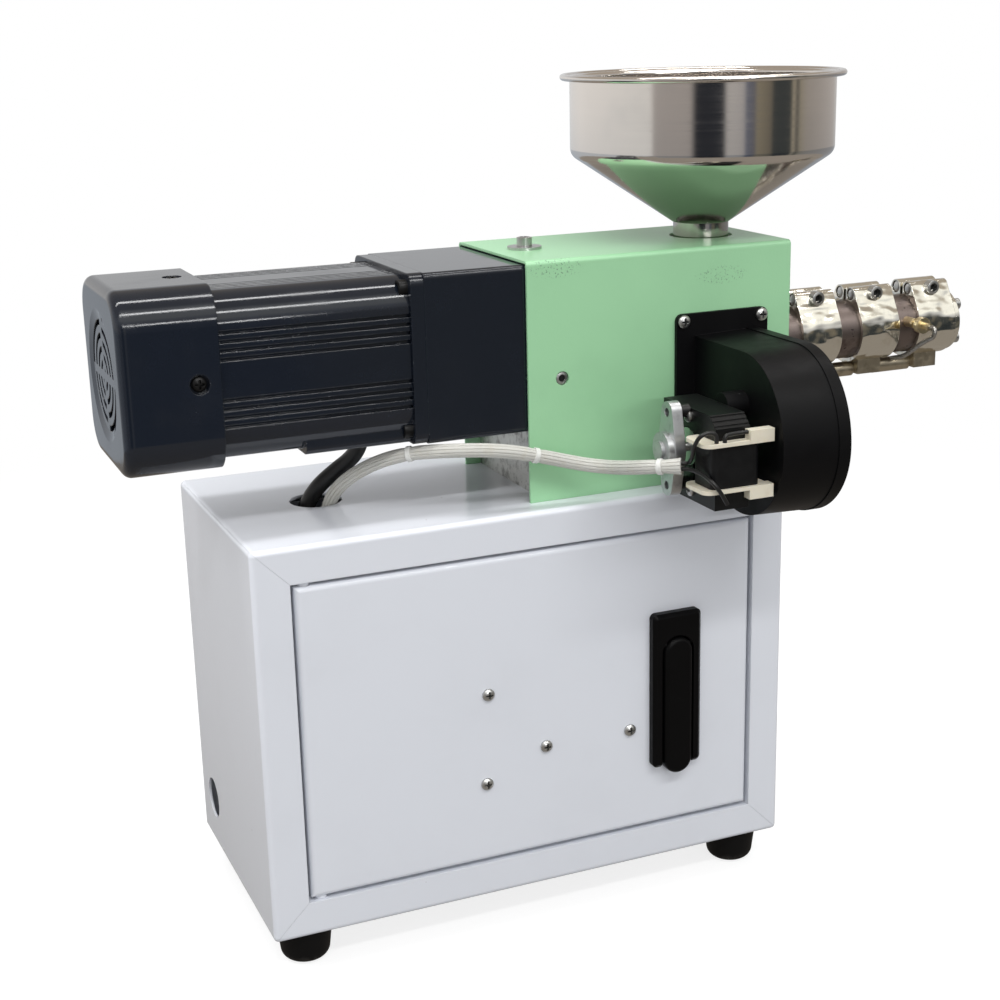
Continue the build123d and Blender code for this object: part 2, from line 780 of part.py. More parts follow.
# Hopper
with BuildPart() as hopper:
    neck_line = neck_diameter / 2 - hopper_wall / 2
    body_line = hopper_diameter / 2 - hopper_wall / 2
    bead_line = hopper_rim_diameter / 2 - hopper_bead_diameter / 2
    bead_z = hopper_rim_top - hopper_bead_diameter / 2
    with BuildSketch(Plane.XZ.offset(-machine_y)):
        with BuildLine():
            FilletPolyline(
                (hopper_x + neck_line, cone_start),
                (hopper_x + body_line, cone_end),
                (hopper_x + body_line, bead_z),
                (hopper_x + bead_line, bead_z),
                radius=(hopper_knuckle, hopper_rim_bend),
            )
        trace(line_width=hopper_wall)
        with Locations((hopper_x + bead_line, bead_z)):
            Circle(hopper_bead_diameter / 2)
    revolve(axis=Axis((hopper_x, machine_y, 0), (0, 0, 1)))
    with BuildSketch(Plane.XY.offset(cone_start)):
        with Locations((hopper_x, machine_y)):
            Circle(neck_diameter)
    extrude(amount=-overrun, mode=Mode.SUBTRACT)

with BuildPart() as hopper_neck:
    neck_bottom = inside_top - neck_seat_depth
    with BuildSketch(Plane.XY.offset(neck_bottom)):
        with Locations((hopper_x, machine_y)):
            Circle(neck_diameter / 2)
            Circle(neck_diameter / 2 - neck_wall, mode=Mode.SUBTRACT)
    extrude(amount=cone_start - neck_bottom)

# Barrel, screw and die
with BuildPart() as barrel:
    with BuildSketch(Plane.YZ.offset(feed_block_start)):
        with Locations((machine_y, barrel_z)):
            Circle(barrel_diameter / 2)
            Circle(barrel_bore / 2, mode=Mode.SUBTRACT)
    extrude(amount=barrel_end - feed_block_start)
    with BuildSketch(Plane.XY.offset(barrel_z)):
        with Locations((hopper_x, machine_y)):
            Circle(barrel_bore / 2)
    extrude(amount=barrel_diameter, mode=Mode.SUBTRACT)

with BuildPart() as extruder_screw:
    shank_start = mount_x + shaft_length - screw_socket_depth
    shank_end = shank_start + screw_shank_length
    with BuildSketch(Plane.YZ.offset(shank_start)):
        with Locations((machine_y, barrel_z)):
            Circle(screw_shank_diameter / 2)
            Circle(shaft_diameter / 2 + fit, mode=Mode.SUBTRACT)
    extrude(amount=screw_socket_depth + fit)
    with BuildSketch(Plane.YZ.offset(shank_start + screw_socket_depth + fit)):
        with Locations((machine_y, barrel_z)):
            Circle(screw_shank_diameter / 2)
    extrude(amount=shank_end - shank_start - screw_socket_depth - fit)
    with BuildSketch(Plane.YZ.offset(shank_end)):
        with Locations((machine_y, barrel_z)):
            Circle(barrel_bore / 2 - fit)
    extrude(amount=barrel_end - shank_end - fit)

with BuildPart() as die_head:
    with BuildSketch(Plane.YZ.offset(barrel_end)):
        with Locations((machine_y, barrel_z)):
            Circle(die_diameter / 2)
    extrude(amount=die_thickness)
    with BuildSketch(Plane.YZ.offset(barrel_end + die_thickness)):
        with Locations((machine_y, barrel_z)):
            RegularPolygon(nozzle_diameter / 2, 6)
    extrude(amount=nozzle_length)
    with BuildSketch(Plane.YZ.offset(barrel_end)):
        with Locations((machine_y, barrel_z)):
            Circle(nozzle_bore / 2)
    extrude(amount=die_thickness + nozzle_length, mode=Mode.SUBTRACT)

# Heater bands: split rings with rolled ears, and terminal boxes below
bands = {}
for band_index, band_x in enumerate(band_starts):
    with BuildPart() as band:
        with BuildSketch(Plane.YZ.offset(band_x)):
            with Locations((machine_y, barrel_z)):
                Circle(band_radius)
                ear_y = band_split / 2 + ear_diameter / 2
                ear_z = band_radius + ear_rise
                add(ear_shoulder(-ear_y, ear_z))
                add(ear_shoulder(ear_y, ear_z))
                with Locations((-ear_y, ear_z), (ear_y, ear_z)):
                    Circle(ear_diameter / 2 - ear_wall, mode=Mode.SUBTRACT)
                Circle(band_radius - band_wall, mode=Mode.SUBTRACT)
                with Locations((0, band_radius)):
                    Rectangle(band_split, band_radius, mode=Mode.SUBTRACT)
        extrude(amount=band_width)
    bands[f"heater_band_{band_index + 1}"] = band

with BuildPart() as heater_terminals:
    terminal_low = barrel_z - band_radius - terminal_drop
    for band_x in band_starts:
        with BuildSketch(Plane.XY.offset(terminal_low)):
            with Locations((band_x + band_width / 2, machine_y)):
                Rectangle(terminal_length, terminal_width)
        extrude(amount=terminal_drop + band_wall)
    with BuildSketch(Plane.YZ.offset(band_start - overrun)):
        with Locations((machine_y, barrel_z)):
            Circle(band_radius)
    extrude(amount=barrel_end - band_start + overrun, mode=Mode.SUBTRACT)

with BuildPart() as heater_leads:
    lead_starts = [feed_block_end]
    for band_x in band_starts:
        lead_starts.append(band_x + band_width / 2 + terminal_length / 2)
    for lead_start, band_x in zip(lead_starts, band_starts):
        with BuildSketch(Plane.YZ.offset(lead_start)):
            with Locations((machine_y, heater_lead_z)):
                Circle(heater_lead_diameter / 2)
        extrude(amount=band_x + band_width / 2 - terminal_length / 2 - lead_start)

with BuildPart() as thermocouple:
    barrel_skin = barrel_diameter / 2
    steps = (
        (probe_diameter, 0, probe_length),
        (probe_nut_diameter, 0, probe_nut_length),
        (probe_ring_diameter, probe_ring_start, probe_ring_length),
    )
    for step_diameter, step_start, step_length in steps:
        step_base = barrel_skin if step_start else 0
        with BuildSketch(Plane.XZ.offset(-machine_y + step_base + step_start)):
            with Locations((probe_x, probe_z)):
                Circle(step_diameter / 2)
        extrude(amount=step_length + barrel_skin - step_base)
    with BuildSketch(Plane.YZ.offset(probe_x)):
        with Locations((machine_y, barrel_z)):
            Circle(barrel_skin + fit / 2)
    extrude(amount=probe_ring_diameter, both=True, mode=Mode.SUBTRACT)

# Cooling blower: hollow scroll with its outlet duct and flange, cover, wheel and open motor
with BuildPart() as blower_housing:
    with BuildSketch(Plane.YZ.offset(blower_x)):
        add(volute(0))
    with BuildSketch(Plane.YZ.offset(blower_end)):
        add(volute(-blower_flare))
    loft()
    with BuildSketch(Plane.XZ.offset(-cover_front)):
        with Locations((flange_x, flange_top - blower_flange_height / 2)):
            RectangleRounded(blower_flange_width, blower_flange_height, blower_flange_corner)
    extrude(amount=blower_flange_thickness)
    with BuildSketch(Plane.YZ.offset(blower_x + blower_wall)):
        add(volute(blower_wall))
    with BuildSketch(Plane.YZ.offset(blower_end)):
        add(volute(blower_wall - blower_flare))
    loft(mode=Mode.SUBTRACT)
    with BuildSketch(Plane.YZ.offset(core_end)):
        with Locations((blower_y, blower_z)):
            with GridLocations(0, bracket_ear_pitch, 1, 2):
                Circle(blower_boss_diameter / 2)
    extrude(amount=blower_boss_length)
    with BuildSketch(Plane.YZ.offset(blower_x)):
        with Locations((blower_y, blower_z)):
            Circle(blower_shaft_hole_diameter / 2)
    extrude(amount=blower_wall, mode=Mode.SUBTRACT)

with BuildPart() as blower_cover:
    with BuildSketch(Plane.YZ.offset(blower_end)):
        add(volute(-blower_flare - blower_rim))
        with Locations((cover_front, blower_z)):
            Rectangle(2 * blower_flange_thickness, 2 * cover_height, mode=Mode.SUBTRACT)
    extrude(amount=blower_cover_thickness)
    fillet(blower_cover.faces().sort_by(Axis.X)[-1].edges(), blower_cover_edge)
    with BuildSketch(Plane.YZ.offset(blower_end)):
        with Locations((blower_y, blower_z)):
            Circle(inlet_diameter / 2)
    extrude(amount=blower_cover_thickness, mode=Mode.SUBTRACT)

with BuildPart() as blower_wheel:
    wheel_start = blower_x + blower_wall + (blower_width - blower_wall - wheel_width) / 2
    with BuildSketch(Plane.YZ.offset(wheel_start)):
        with Locations((blower_y, blower_z)):
            Circle(wheel_diameter / 2)
            Circle(blower_shaft_diameter / 2 + fit, mode=Mode.SUBTRACT)
    extrude(amount=wheel_disc)
    with BuildSketch(Plane.YZ.offset(wheel_start)):
        with Locations((blower_y, blower_z)):
            Circle(wheel_hub_diameter / 2)
            Circle(blower_shaft_diameter / 2 + fit, mode=Mode.SUBTRACT)
    extrude(amount=wheel_width / 2)
    with BuildSketch(Plane.YZ.offset(wheel_start)):
        with Locations((blower_y, blower_z)):
            with PolarLocations(wheel_diameter / 2 - wheel_blade_depth / 2, wheel_blades):
                Rectangle(wheel_blade_depth, wheel_blade)
    extrude(amount=wheel_width)
    with BuildSketch(Plane.YZ.offset(wheel_start + wheel_width - wheel_disc)):
        with Locations((blower_y, blower_z)):
            Circle(wheel_diameter / 2)
            Circle(wheel_diameter / 2 - wheel_blade_depth, mode=Mode.SUBTRACT)
    extrude(amount=wheel_disc)

with BuildPart() as blower_rotor:
    with BuildSketch(Plane.YZ.offset(bracket_x)):
        with Locations((blower_y, blower_z)):
            Circle(blower_shaft_diameter / 2)
    extrude(amount=wheel_start + wheel_width / 2 - bracket_x)
    with BuildSketch(Plane.YZ.offset(core_start)):
        with Locations((blower_y, blower_z)):
            Circle(rotor_diameter / 2)
    extrude(amount=core_thickness)

with BuildPart() as blower_core:
    core_front_y = blower_y - core_front
    with BuildSketch(Plane.YZ.offset(core_start)) as core_outline:
        with Locations((core_front_y, core_bottom)):
            Rectangle(core_front + core_back, core_height, align=Align.MIN)
        chamfer(core_outline.vertices().group_by(Axis.X)[0].sort_by(Axis.Y)[-1], core_corner)
        for groove_share in core_groove_shares:
            groove_y = core_front_y + core_corner * groove_share
            groove_z = core_top - core_corner * (1 - groove_share)
            with Locations((groove_y, groove_z)):
                Rectangle(core_groove, core_groove, rotation=45, mode=Mode.SUBTRACT)
        with Locations((leg_y + core_leg / 2, window_low)):
            Rectangle(pole_depth, window_high - window_low, align=Align.MIN, mode=Mode.SUBTRACT)
        with Locations((blower_y, blower_z)):
            Circle(rotor_diameter / 2 + rotor_gap, mode=Mode.SUBTRACT)
    extrude(amount=core_thickness)

with BuildPart() as blower_bobbin:
    bobbin_width = core_thickness + 2 * bobbin_margin
    bobbin_depth = core_leg + 2 * coil_margin + 2 * bobbin_flange
    block_end = core_middle_x + bobbin_width / 2 + bobbin_block_overhang
    block_x = block_end - bobbin_block_length / 2
    block_depth = coil_margin + bobbin_flange - fit
    block_y = leg_y - bobbin_depth / 2 + block_depth / 2
    block_drop = bobbin_block_height - bobbin_flange
    upper_flange_z = window_high - bobbin_flange
    for flange_z, block_z in ((window_low, window_low - block_drop), (upper_flange_z, upper_flange_z)):
        with BuildSketch(Plane.XY.offset(flange_z)):
            with Locations((core_middle_x, leg_y)):
                RectangleRounded(bobbin_width, bobbin_depth, bobbin_corner)
                Rectangle(core_thickness + 2 * fit, core_leg + 2 * fit, mode=Mode.SUBTRACT)
        extrude(amount=bobbin_flange)
        with BuildSketch(Plane.XY.offset(block_z)):
            with Locations((block_x, block_y)):
                Rectangle(bobbin_block_length, block_depth)
        extrude(amount=bobbin_block_height)

with BuildPart() as blower_coil:
    with BuildSketch(Plane.XY.offset(window_low + bobbin_flange)):
        with Locations((core_middle_x, leg_y)):
            RectangleRounded(core_thickness + 2 * coil_margin, core_leg + 2 * coil_margin, coil_round)
            Rectangle(core_thickness + 2 * fit, core_leg + 2 * fit, mode=Mode.SUBTRACT)
    extrude(amount=window_high - window_low - 2 * bobbin_flange)

with BuildPart() as blower_brackets:
    with BuildSketch(Plane.YZ.offset(bracket_x)) as bracket_outline:
        with Locations((blower_y, blower_z)):
            Circle(bracket_middle_diameter / 2)
            with GridLocations(0, bracket_ear_pitch, 1, 2):
                Circle(bracket_ear_diameter / 2)
        make_hull()
    extrude(amount=bracket_thickness)
    with BuildSketch(Plane.YZ.offset(bracket_x)):
        with Locations((blower_y, blower_z)):
            with GridLocations(0, bracket_ear_pitch, 1, 2):
                Circle(bracket_ear_hole_diameter / 2)
    extrude(amount=bracket_ear_hole_depth, mode=Mode.SUBTRACT)
    with BuildSketch(Plane.YZ.offset(bracket_x + bracket_thickness)):
        with Locations((blower_y, blower_z)):
            with GridLocations(0, bracket_ear_pitch, 1, 2):
                Circle(bracket_post_diameter / 2)
    extrude(amount=bracket_standoff)
    with BuildSketch(Plane.YZ.offset(bracket_x)):
        with Locations((blower_y, blower_z)):
            Circle(blower_shaft_diameter / 2 + fit)
    extrude(amount=bracket_thickness, mode=Mode.SUBTRACT)
    for cap_diameter, cap_length in (
        (bracket_boss_diameter, bracket_boss_length),
        (bracket_cap_diameter, bracket_boss_length + bracket_cap_length),
    ):
        with BuildSketch(Plane.YZ.offset(bracket_x)):
            with Locations((blower_y, blower_z)):
                Circle(cap_diameter / 2)
        extrude(amount=-cap_length)

# Cables and leads
with BuildPart() as motor_cable:
    add(tube(from_cable_hole(cable_route), cable_diameter))

with BuildPart() as sleeved_cable:
    add(tube(from_cable_hole(sleeve_route), sleeve_diameter))

with BuildPart() as blower_leads:
    for wire_route in (upper_wire_route, lower_wire_route, block_wire_route):
        add(tube(from_cable_hole(wire_route), wire_diameter))

with BuildPart() as probe_lead:
    add(tube(from_probe_end(probe_lead_route), probe_lead_diameter))

pieces = {
    "cabinet_top": cabinet_top,
    "cabinet_base": cabinet_base,
    "cabinet_left_side": cabinet_left_side,
    "cabinet_right_side": cabinet_right_side,
    "cabinet_back_panel": cabinet_back_panel,
    "door_panel": door_panel,
    "hinge_pins": hinge_pins,
    "handle_base": handle_base,
    "handle_lever": handle_lever,
    "gearhead": gearhead,
    "motor_flange": motor_flange,
    "motor_body": motor_body,
    "motor_fan_cowl": motor_fan_cowl,
    "motor_fan": motor_fan,
    "base_plate": base_plate,
    "mount_plate": mount_plate,
    "feed_block": feed_block,
    "housing_cover": housing_cover,
    "hopper": hopper,
    "hopper_neck": hopper_neck,
    "barrel": barrel,
    "extruder_screw": extruder_screw,
    "die_head": die_head,
    "heater_terminals": heater_terminals,
    "heater_leads": heater_leads,
    "thermocouple": thermocouple,
    "blower_housing": blower_housing,
    "blower_cover": blower_cover,
    "blower_wheel": blower_wheel,
    "blower_rotor": blower_rotor,
    "blower_core": blower_core,
    "blower_bobbin": blower_bobbin,
    "blower_coil": blower_coil,
    "blower_brackets": blower_brackets,
    "motor_cable": motor_cable,
    "sleeved_cable": sleeved_cable,
    "blower_leads": blower_leads,
    "probe_lead": probe_lead,
}
pieces.update(feet)
pieces.update(bands)

os.makedirs("parts", exist_ok=True)
for piece_name, piece in pieces.items():
    piece.part.label = piece_name
    export_step(piece.part, f"parts/{piece_name}.step")
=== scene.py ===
from math import cos, pi, radians, sin, tau

import bmesh
import bpy
from mathutils import Matrix, Vector


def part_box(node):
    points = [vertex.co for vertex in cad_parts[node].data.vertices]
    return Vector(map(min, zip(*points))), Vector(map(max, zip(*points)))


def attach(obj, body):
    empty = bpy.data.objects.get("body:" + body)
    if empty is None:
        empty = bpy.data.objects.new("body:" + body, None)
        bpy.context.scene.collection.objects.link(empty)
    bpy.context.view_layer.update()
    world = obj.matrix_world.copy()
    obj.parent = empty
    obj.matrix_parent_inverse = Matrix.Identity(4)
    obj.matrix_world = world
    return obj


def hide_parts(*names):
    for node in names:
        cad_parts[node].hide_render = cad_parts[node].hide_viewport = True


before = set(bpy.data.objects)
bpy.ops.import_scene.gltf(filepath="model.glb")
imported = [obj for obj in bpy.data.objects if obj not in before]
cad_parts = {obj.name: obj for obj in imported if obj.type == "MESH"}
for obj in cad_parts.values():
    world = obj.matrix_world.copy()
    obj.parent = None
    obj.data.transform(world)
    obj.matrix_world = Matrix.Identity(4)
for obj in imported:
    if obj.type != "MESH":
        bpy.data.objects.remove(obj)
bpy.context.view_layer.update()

# Looks of a benchtop single screw extruder, in metres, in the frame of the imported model:
# +X along the barrel towards the die, -Y towards the door, +Z up, floor at zero.

MM = 0.001

# Camera of the photograph
CAMERA_PLACE = (-0.348128, -0.866664, 0.495278)
CAMERA_YAW = 0.39492
CAMERA_PITCH = 0.28006
CAMERA_ROLL = -0.02438
CAMERA_LENS = 60.83
CAMERA_SENSOR = 36.0

# Floor
FLOOR_RADIUS = 1.15
FLOOR_SIDES = 96
FLOOR_FADE = 0.45
FLOOR_SHADE = (0.3, 0.3, 0.3, 1)
FLOOR_GLOW = 0.8
# FLOOR_MIRRORED is a painted glow that reflections see on the floor.
FLOOR_MIRRORED = (0.30, 0.27, 0.235, 1)

# Lamps; each strip has its place along Y, its height and its power
STRIP_LENGTH = 2.6
STRIP_WIDTH = 0.15
STRIPS = ((-1.5, 2.0, 22.0), (-0.05, 2.0, 18.0), (-5.0, 1.6, 30.0))
SIDE_LAMP_PLACE = (-0.45, 0.0, 0.4)
SIDE_LAMP_SIZE = 0.3
SIDE_LAMP_POWER = 0.6
LAMP_TARGET = (0, 0, 0.25)

# Surround; a start or an end is a coordinate of the direction looked in
WHITE = (1, 1, 1, 1)
FILL_STRENGTH = 0.62
CEILING_START = 0.14
CEILING_END = 0.36
CEILING_TONE = (0.62, 0.62, 0.63, 1)
HIGH_START = 0.36
HIGH_END = 0.5
FRONT_END = -0.55
FRONT_TONE = (1.15, 1.14, 1.08, 1)
OVERHEAD_START = -0.42
OVERHEAD_TONE = (0.42, 0.37, 0.31, 1)
BELOW_START = -0.14
BELOW_END = -0.04
BELOW_TONE = (0.58, 0.63, 0.69, 1)

# Finishes; each scuff has its place from the cover's left end, its depth below the top and its reach
NOISE_ROUGH = 0.55
STREAK_ROUGH = 0.6
EDGE_SAMPLES = 4
WEAR_SAMPLES = 6
WEAR_LOW = 0.02
WEAR_HIGH = 0.25
SCUFFS = ((16 * MM, 4.5 * MM, 26 * MM), (117 * MM, 16 * MM, 24 * MM))
SCUFF_STRETCH = (1, 1, 3.2)
# The hopper's cone is darkened below CONE_TOP by this amount, as painted shade.
CONE_TOP = 418 * MM
CONE_BLEND = 6 * MM
CONE_SHADE_AMOUNT = 0.5
POST_STANDOFF = 6.3 * MM
POST_BLEND = 0.2 * MM
LAMINATION = 0.8 * MM
RUBBER_SCUFF_LOW = 1 * MM
RUBBER_SCUFF_HIGH = 7 * MM

# Directions
OUT = (0, -1, 0)
BACK = (0, 1, 0)
LEFT = (-1, 0, 0)
RIGHT = (1, 0, 0)
UP = (0, 0, 1)
DOWN = (0, 0, -1)

# Heads of fasteners; heights, crowns and recesses are shares of the head's own size
SHARP_ANGLE = radians(38)
HEAD_RINGS = 18
HEAD_STEPS = 48
HEAD_CORE = 0.05
CROWN_POWER = 3
CROSS_SHARE = 0.11
CROSS_SPAN = 0.58
CROSS_DEPTH = 0.2
PAN_HEIGHT = 0.36
PAN_CROWN = 0.2
CAP_CROWN = 0.05
SOCKET_SPAN = 0.56
SOCKET_DEPTH = 0.55

# Pan head screws by diameter, cap screws by diameter and height, places in the frame in millimetres
DOOR_SCREW = 7.0 * MM
DOOR_SCREWS = ((-29.1, 141.0), (4.8, 104.2), (-31.2, 88.7), (56.7, 103.8))
BLOWER_SCREW = 7.2 * MM
BLOWER_SCREW_INSET = 4.2 * MM
BLOWER_SCREW_DROP = 4.0 * MM
BLOWER_FLANGE_THICKNESS = 2.5 * MM
BLOWER_FLANGE_INSET = 15.7 * MM
BLOWER_FLANGE_WIDTH = 57.4 * MM
BLOWER_FLANGE_DROP = 35.5 * MM
CORE_SCREW = 6.6 * MM
CORE_SCREWS = (("upper", -116.5, 292.6), ("lower", -119.5, 253.5))
COWL_SCREW = 8.0 * MM
COWL_POCKET_INSET = 11 * MM
COWL_POCKET_DEPTH = 2.7 * MM
COVER_SCREW = (8.5 * MM, 5 * MM)
COVER_SIDE_SCREW = (6.6 * MM, 1.4 * MM)
WASHER_DIAMETER = 19 * MM
WASHER_THICKNESS = 1.6 * MM
WASHER_CROWN = 0.15 * MM
FLANGE_BOLT = (8.5 * MM, 5 * MM)
FLANGE_BOLT_REACH = 37.5 * MM
BAND_SCREW = (8.2 * MM, 5.2 * MM)
BAND_SCREW_REACH = 9.2 * MM
BAND_SCREW_DROP = 3.6 * MM
EAR_INSET = 4.5 * MM
EAR_PITCH = 11.5 * MM
PIN_DIAMETER = 6.2 * MM
PIN_CROWN = 0.5 * MM
PIN_LENGTH = 26.5 * MM
DIE_BOLT = (7.0 * MM, 4.6 * MM)
DIE_BOLT_REACH = 14.5 * MM
DIE_FLANGE = 3 * MM

# Cables; routes in millimetres from the middle of the cable hole in the cabinet top
CABLE_HOLE = Vector((-97, 0, 240)) * MM
ROUTE_DETAIL = 24
ROUTE_ORDER = 3
CABLE_DIAMETER = 9.0 * MM
CABLE_RINGS = 90
CABLE_SIDES = 28
CABLE_ROUTE = (
    (-7, 6, -14),
    (-4, 5, -3),
    (2, 2, 7),
    (11, -3, 16),
    (19, -10, 24),
    (22.5, -14, 32),
    (23.5, -15.5, 38.8),
)
SLEEVE_DIAMETER = 7.6 * MM
SLEEVE_RINGS = 420
SLEEVE_SIDES = 120
SLEEVE_ROUTE = (
    (4, -3, -14),
    (5, -5, -3),
    (9.5, -12, 10),
    (21, -30, 24),
    (36, -46, 32.5),
    (56, -61, 35.2),
    (82, -69, 34),
    (105, -70.5, 28.3),
    (128, -73, 21.5),
    (139, -84, 21),
    (141, -105, 25.5),
    (145, -122, 29.5),
    (157, -130, 30.2),
)
SLEEVE_THREADS = 12
SLEEVE_RIB = 0.16
RIB_POWER = 6
SLEEVE_TWIST = 5.0
SLEEVE_FLARE = 0.16
FLARE_START = 0.965
TIE_SHARES = (0.325, 0.61, 0.955)
TIE_WAIST = 0.12
TIE_REACH = 0.02
TIE_SINK = 0.2 * MM
TIE_HEIGHT = 0.9 * MM
TIE_WIDTH = 2.8 * MM
TIE_EDGE = 0.3 * MM

scene = bpy.context.scene
scene.view_settings.view_transform = "Standard"


def linear(red, green, blue):
    """Linear colour of a display colour given as 0 to 255."""
    channels = []
    for value in (red, green, blue):
        share = value / 255
        channels.append(share / 12.92 if share <= 0.04045 else ((share + 0.055) / 1.055) ** 2.4)
    return tuple(channels)


def feed(tree, socket, value):
    """Links an output to the socket, or sets the socket's own value."""
    if isinstance(value, bpy.types.NodeSocket):
        tree.links.new(value, socket)
    else:
        socket.default_value = value


def calculate(tree, operation, first, second=0.0):
    """The result of an operation on one or two values."""
    node = tree.nodes.new("ShaderNodeMath")
    node.operation = operation
    feed(tree, node.inputs[0], first)
    feed(tree, node.inputs[1], second)
    return node.outputs["Value"]


def smooth_range(tree, value, low, high, start=0.0, end=1.0):
    """Start below low, end above high, and smooth between."""
    node = tree.nodes.new("ShaderNodeMapRange")
    node.interpolation_type = "SMOOTHSTEP"
    tree.links.new(value, node.inputs["Value"])
    for name, number in (("From Min", low), ("From Max", high), ("To Min", start), ("To Max", end)):
        node.inputs[name].default_value = number
    return node.outputs["Result"]


def mix(tree, amount, first, second, data_type="RGBA", blend_type="MIX"):
    """Lays the second value over the first by amount."""
    node = tree.nodes.new("ShaderNodeMix")
    node.data_type = data_type
    node.blend_type = blend_type
    feed(tree, node.inputs["Factor"], amount)
    feed(tree, node.inputs["A"], first)
    feed(tree, node.inputs["B"], second)
    return node.outputs["Result"]


class Finish:
    """One node material, built up from a plain shader by layers of colour, gloss and relief."""

    def __init__(self, name, colour, roughness, metallic=0.0, specular=0.5, edge=0.0):
        self.material = bpy.data.materials.new(name)
        self.material.use_nodes = True
        self.tree = self.material.node_tree
        self.nodes = self.tree.nodes
        self.links = self.tree.links
        self.shader = self.nodes["Principled BSDF"]
        self.shader.inputs["Base Color"].default_value = (*colour, 1)
        self.shader.inputs["Roughness"].default_value = roughness
        self.shader.inputs["Metallic"].default_value = metallic
        self.shader.inputs["Specular IOR Level"].default_value = specular
        self.colour = (*colour, 1)
        self.roughness = roughness
        self.place = self.nodes.new("ShaderNodeTexCoord").outputs["Object"]
        self.normal = None
        if edge:
            bevel = self.nodes.new("ShaderNodeBevel")
            bevel.samples = EDGE_SAMPLES
            bevel.inputs["Radius"].default_value = edge
            self.normal = bevel.outputs["Normal"]
            self.links.new(self.normal, self.shader.inputs["Normal"])

    def stretched(self, scale):
        """Object coordinates scaled per axis."""
        mapping = self.nodes.new("ShaderNodeMapping")
        mapping.inputs["Scale"].default_value = scale
        self.links.new(self.place, mapping.inputs["Vector"])
        return mapping.outputs["Vector"]

    def noise(self, size, detail, rough=NOISE_ROUGH, place=None):
        """Noise whose blotches are about size across."""
        node = self.nodes.new("ShaderNodeTexNoise")
        node.inputs["Scale"].default_value = 1 / size
        node.inputs["Detail"].default_value = detail
        node.inputs["Roughness"].default_value = rough
        self.links.new(place or self.place, node.inputs["Vector"])
        return node.outputs["Fac"]

    def streaks(self, scale, detail):
        """Noise drawn out along an axis; scale is its blotches in a metre along X, Y and Z."""
        return self.noise(1.0, detail, STREAK_ROUGH, self.stretched(scale))

    def cells(self, size):
        """Distance to the points of a cell pattern about size apart."""
        node = self.nodes.new("ShaderNodeTexVoronoi")
        node.inputs["Scale"].default_value = 1 / size
        self.links.new(self.place, node.inputs["Vector"])
        return node.outputs["Distance"]

    def axis(self, name):
        """One coordinate, X, Y or Z."""
        split = self.nodes.new("ShaderNodeSeparateXYZ")
        self.links.new(self.place, split.inputs["Vector"])
        return split.outputs[name]

    def maths(self, operation, first, second=0.0):
        """The result of an operation on one or two values."""
        return calculate(self.tree, operation, first, second)

    def band(self, value, low, high, start=0.0, end=1.0):
        """Start below low, end above high, and smooth between."""
        return smooth_range(self.tree, value, low, high, start, end)

    def mottle(self, size, detail, low, high, amount=1.0, rough=NOISE_ROUGH):
        """Blotches about size across: zero where the noise is below low, amount above high."""
        return self.band(self.noise(size, detail, rough), low, high, 0.0, amount)

    def specks(self, spacing, core, rim, amount):
        """Round specks about spacing apart: amount inside the core, zero outside the rim."""
        return self.band(self.cells(spacing), core, rim, amount, 0.0)

    def near(self, point, reach, stretch=(1, 1, 1)):
        """One at a point of the frame, zero from reach away."""
        node = self.nodes.new("ShaderNodeVectorMath")
        node.operation = "DISTANCE"
        self.links.new(self.stretched(stretch), node.inputs[0])
        node.inputs[1].default_value = [a * b for a, b in zip(point, stretch)]
        return self.band(node.outputs["Value"], 0.0, reach, 1.0, 0.0)

    def edges(self, reach):
        """One along sharp edges, zero on flat and gently curved faces."""
        bevel = self.nodes.new("ShaderNodeBevel")
        bevel.samples = WEAR_SAMPLES
        bevel.inputs["Radius"].default_value = reach
        geometry = self.nodes.new("ShaderNodeNewGeometry")
        node = self.nodes.new("ShaderNodeVectorMath")
        node.operation = "DOT_PRODUCT"
        self.links.new(bevel.outputs["Normal"], node.inputs[0])
        self.links.new(geometry.outputs["Normal"], node.inputs[1])
        return self.band(self.maths("SUBTRACT", 1.0, node.outputs["Value"]), WEAR_LOW, WEAR_HIGH)

    def tint(self, amount, colour):
        """Lays a colour over the base colour by amount."""
        self.colour = mix(self.tree, amount, self.colour, (*colour, 1))
        self.links.new(self.colour, self.shader.inputs["Base Color"])

    def gloss(self, amount, roughness):
        """Lays a roughness over the base roughness by amount."""
        self.roughness = mix(self.tree, amount, self.roughness, roughness, "FLOAT")
        self.links.new(self.roughness, self.shader.inputs["Roughness"])

    def relief(self, height, distance, strength=1.0):
        """Raises the surface where height is high, by about distance."""
        node = self.nodes.new("ShaderNodeBump")
        node.inputs["Strength"].default_value = strength
        node.inputs["Distance"].default_value = distance
        self.links.new(height, node.inputs["Height"])
        if self.normal:
            self.links.new(self.normal, node.inputs["Normal"])
        self.normal = node.outputs["Normal"]
        self.links.new(self.normal, self.shader.inputs["Normal"])

    def metal(self, amount):
        """Metallic where amount is one."""
        self.links.new(amount, self.shader.inputs["Metallic"])


# Finishes


def cabinet_white():
    """Glossy white powder coat with faint orange peel and handling marks."""
    finish = Finish("cabinet_white", linear(229, 232, 239), 0.13, edge=0.8 * MM)
    peel = finish.noise(3.2 * MM, 2.0)
    finish.relief(peel, 0.035 * MM, 0.6)
    smear = finish.noise(70 * MM, 5.0, 0.6)
    finish.tint(finish.band(smear, 0.45, 0.9, 0.0, 0.2), linear(206, 208, 214))
    finish.gloss(finish.band(smear, 0.3, 0.8), 0.2)
    specks = finish.specks(26 * MM, 0.012, 0.026, 0.55)
    finish.tint(specks, linear(150, 148, 142))
    return finish.material


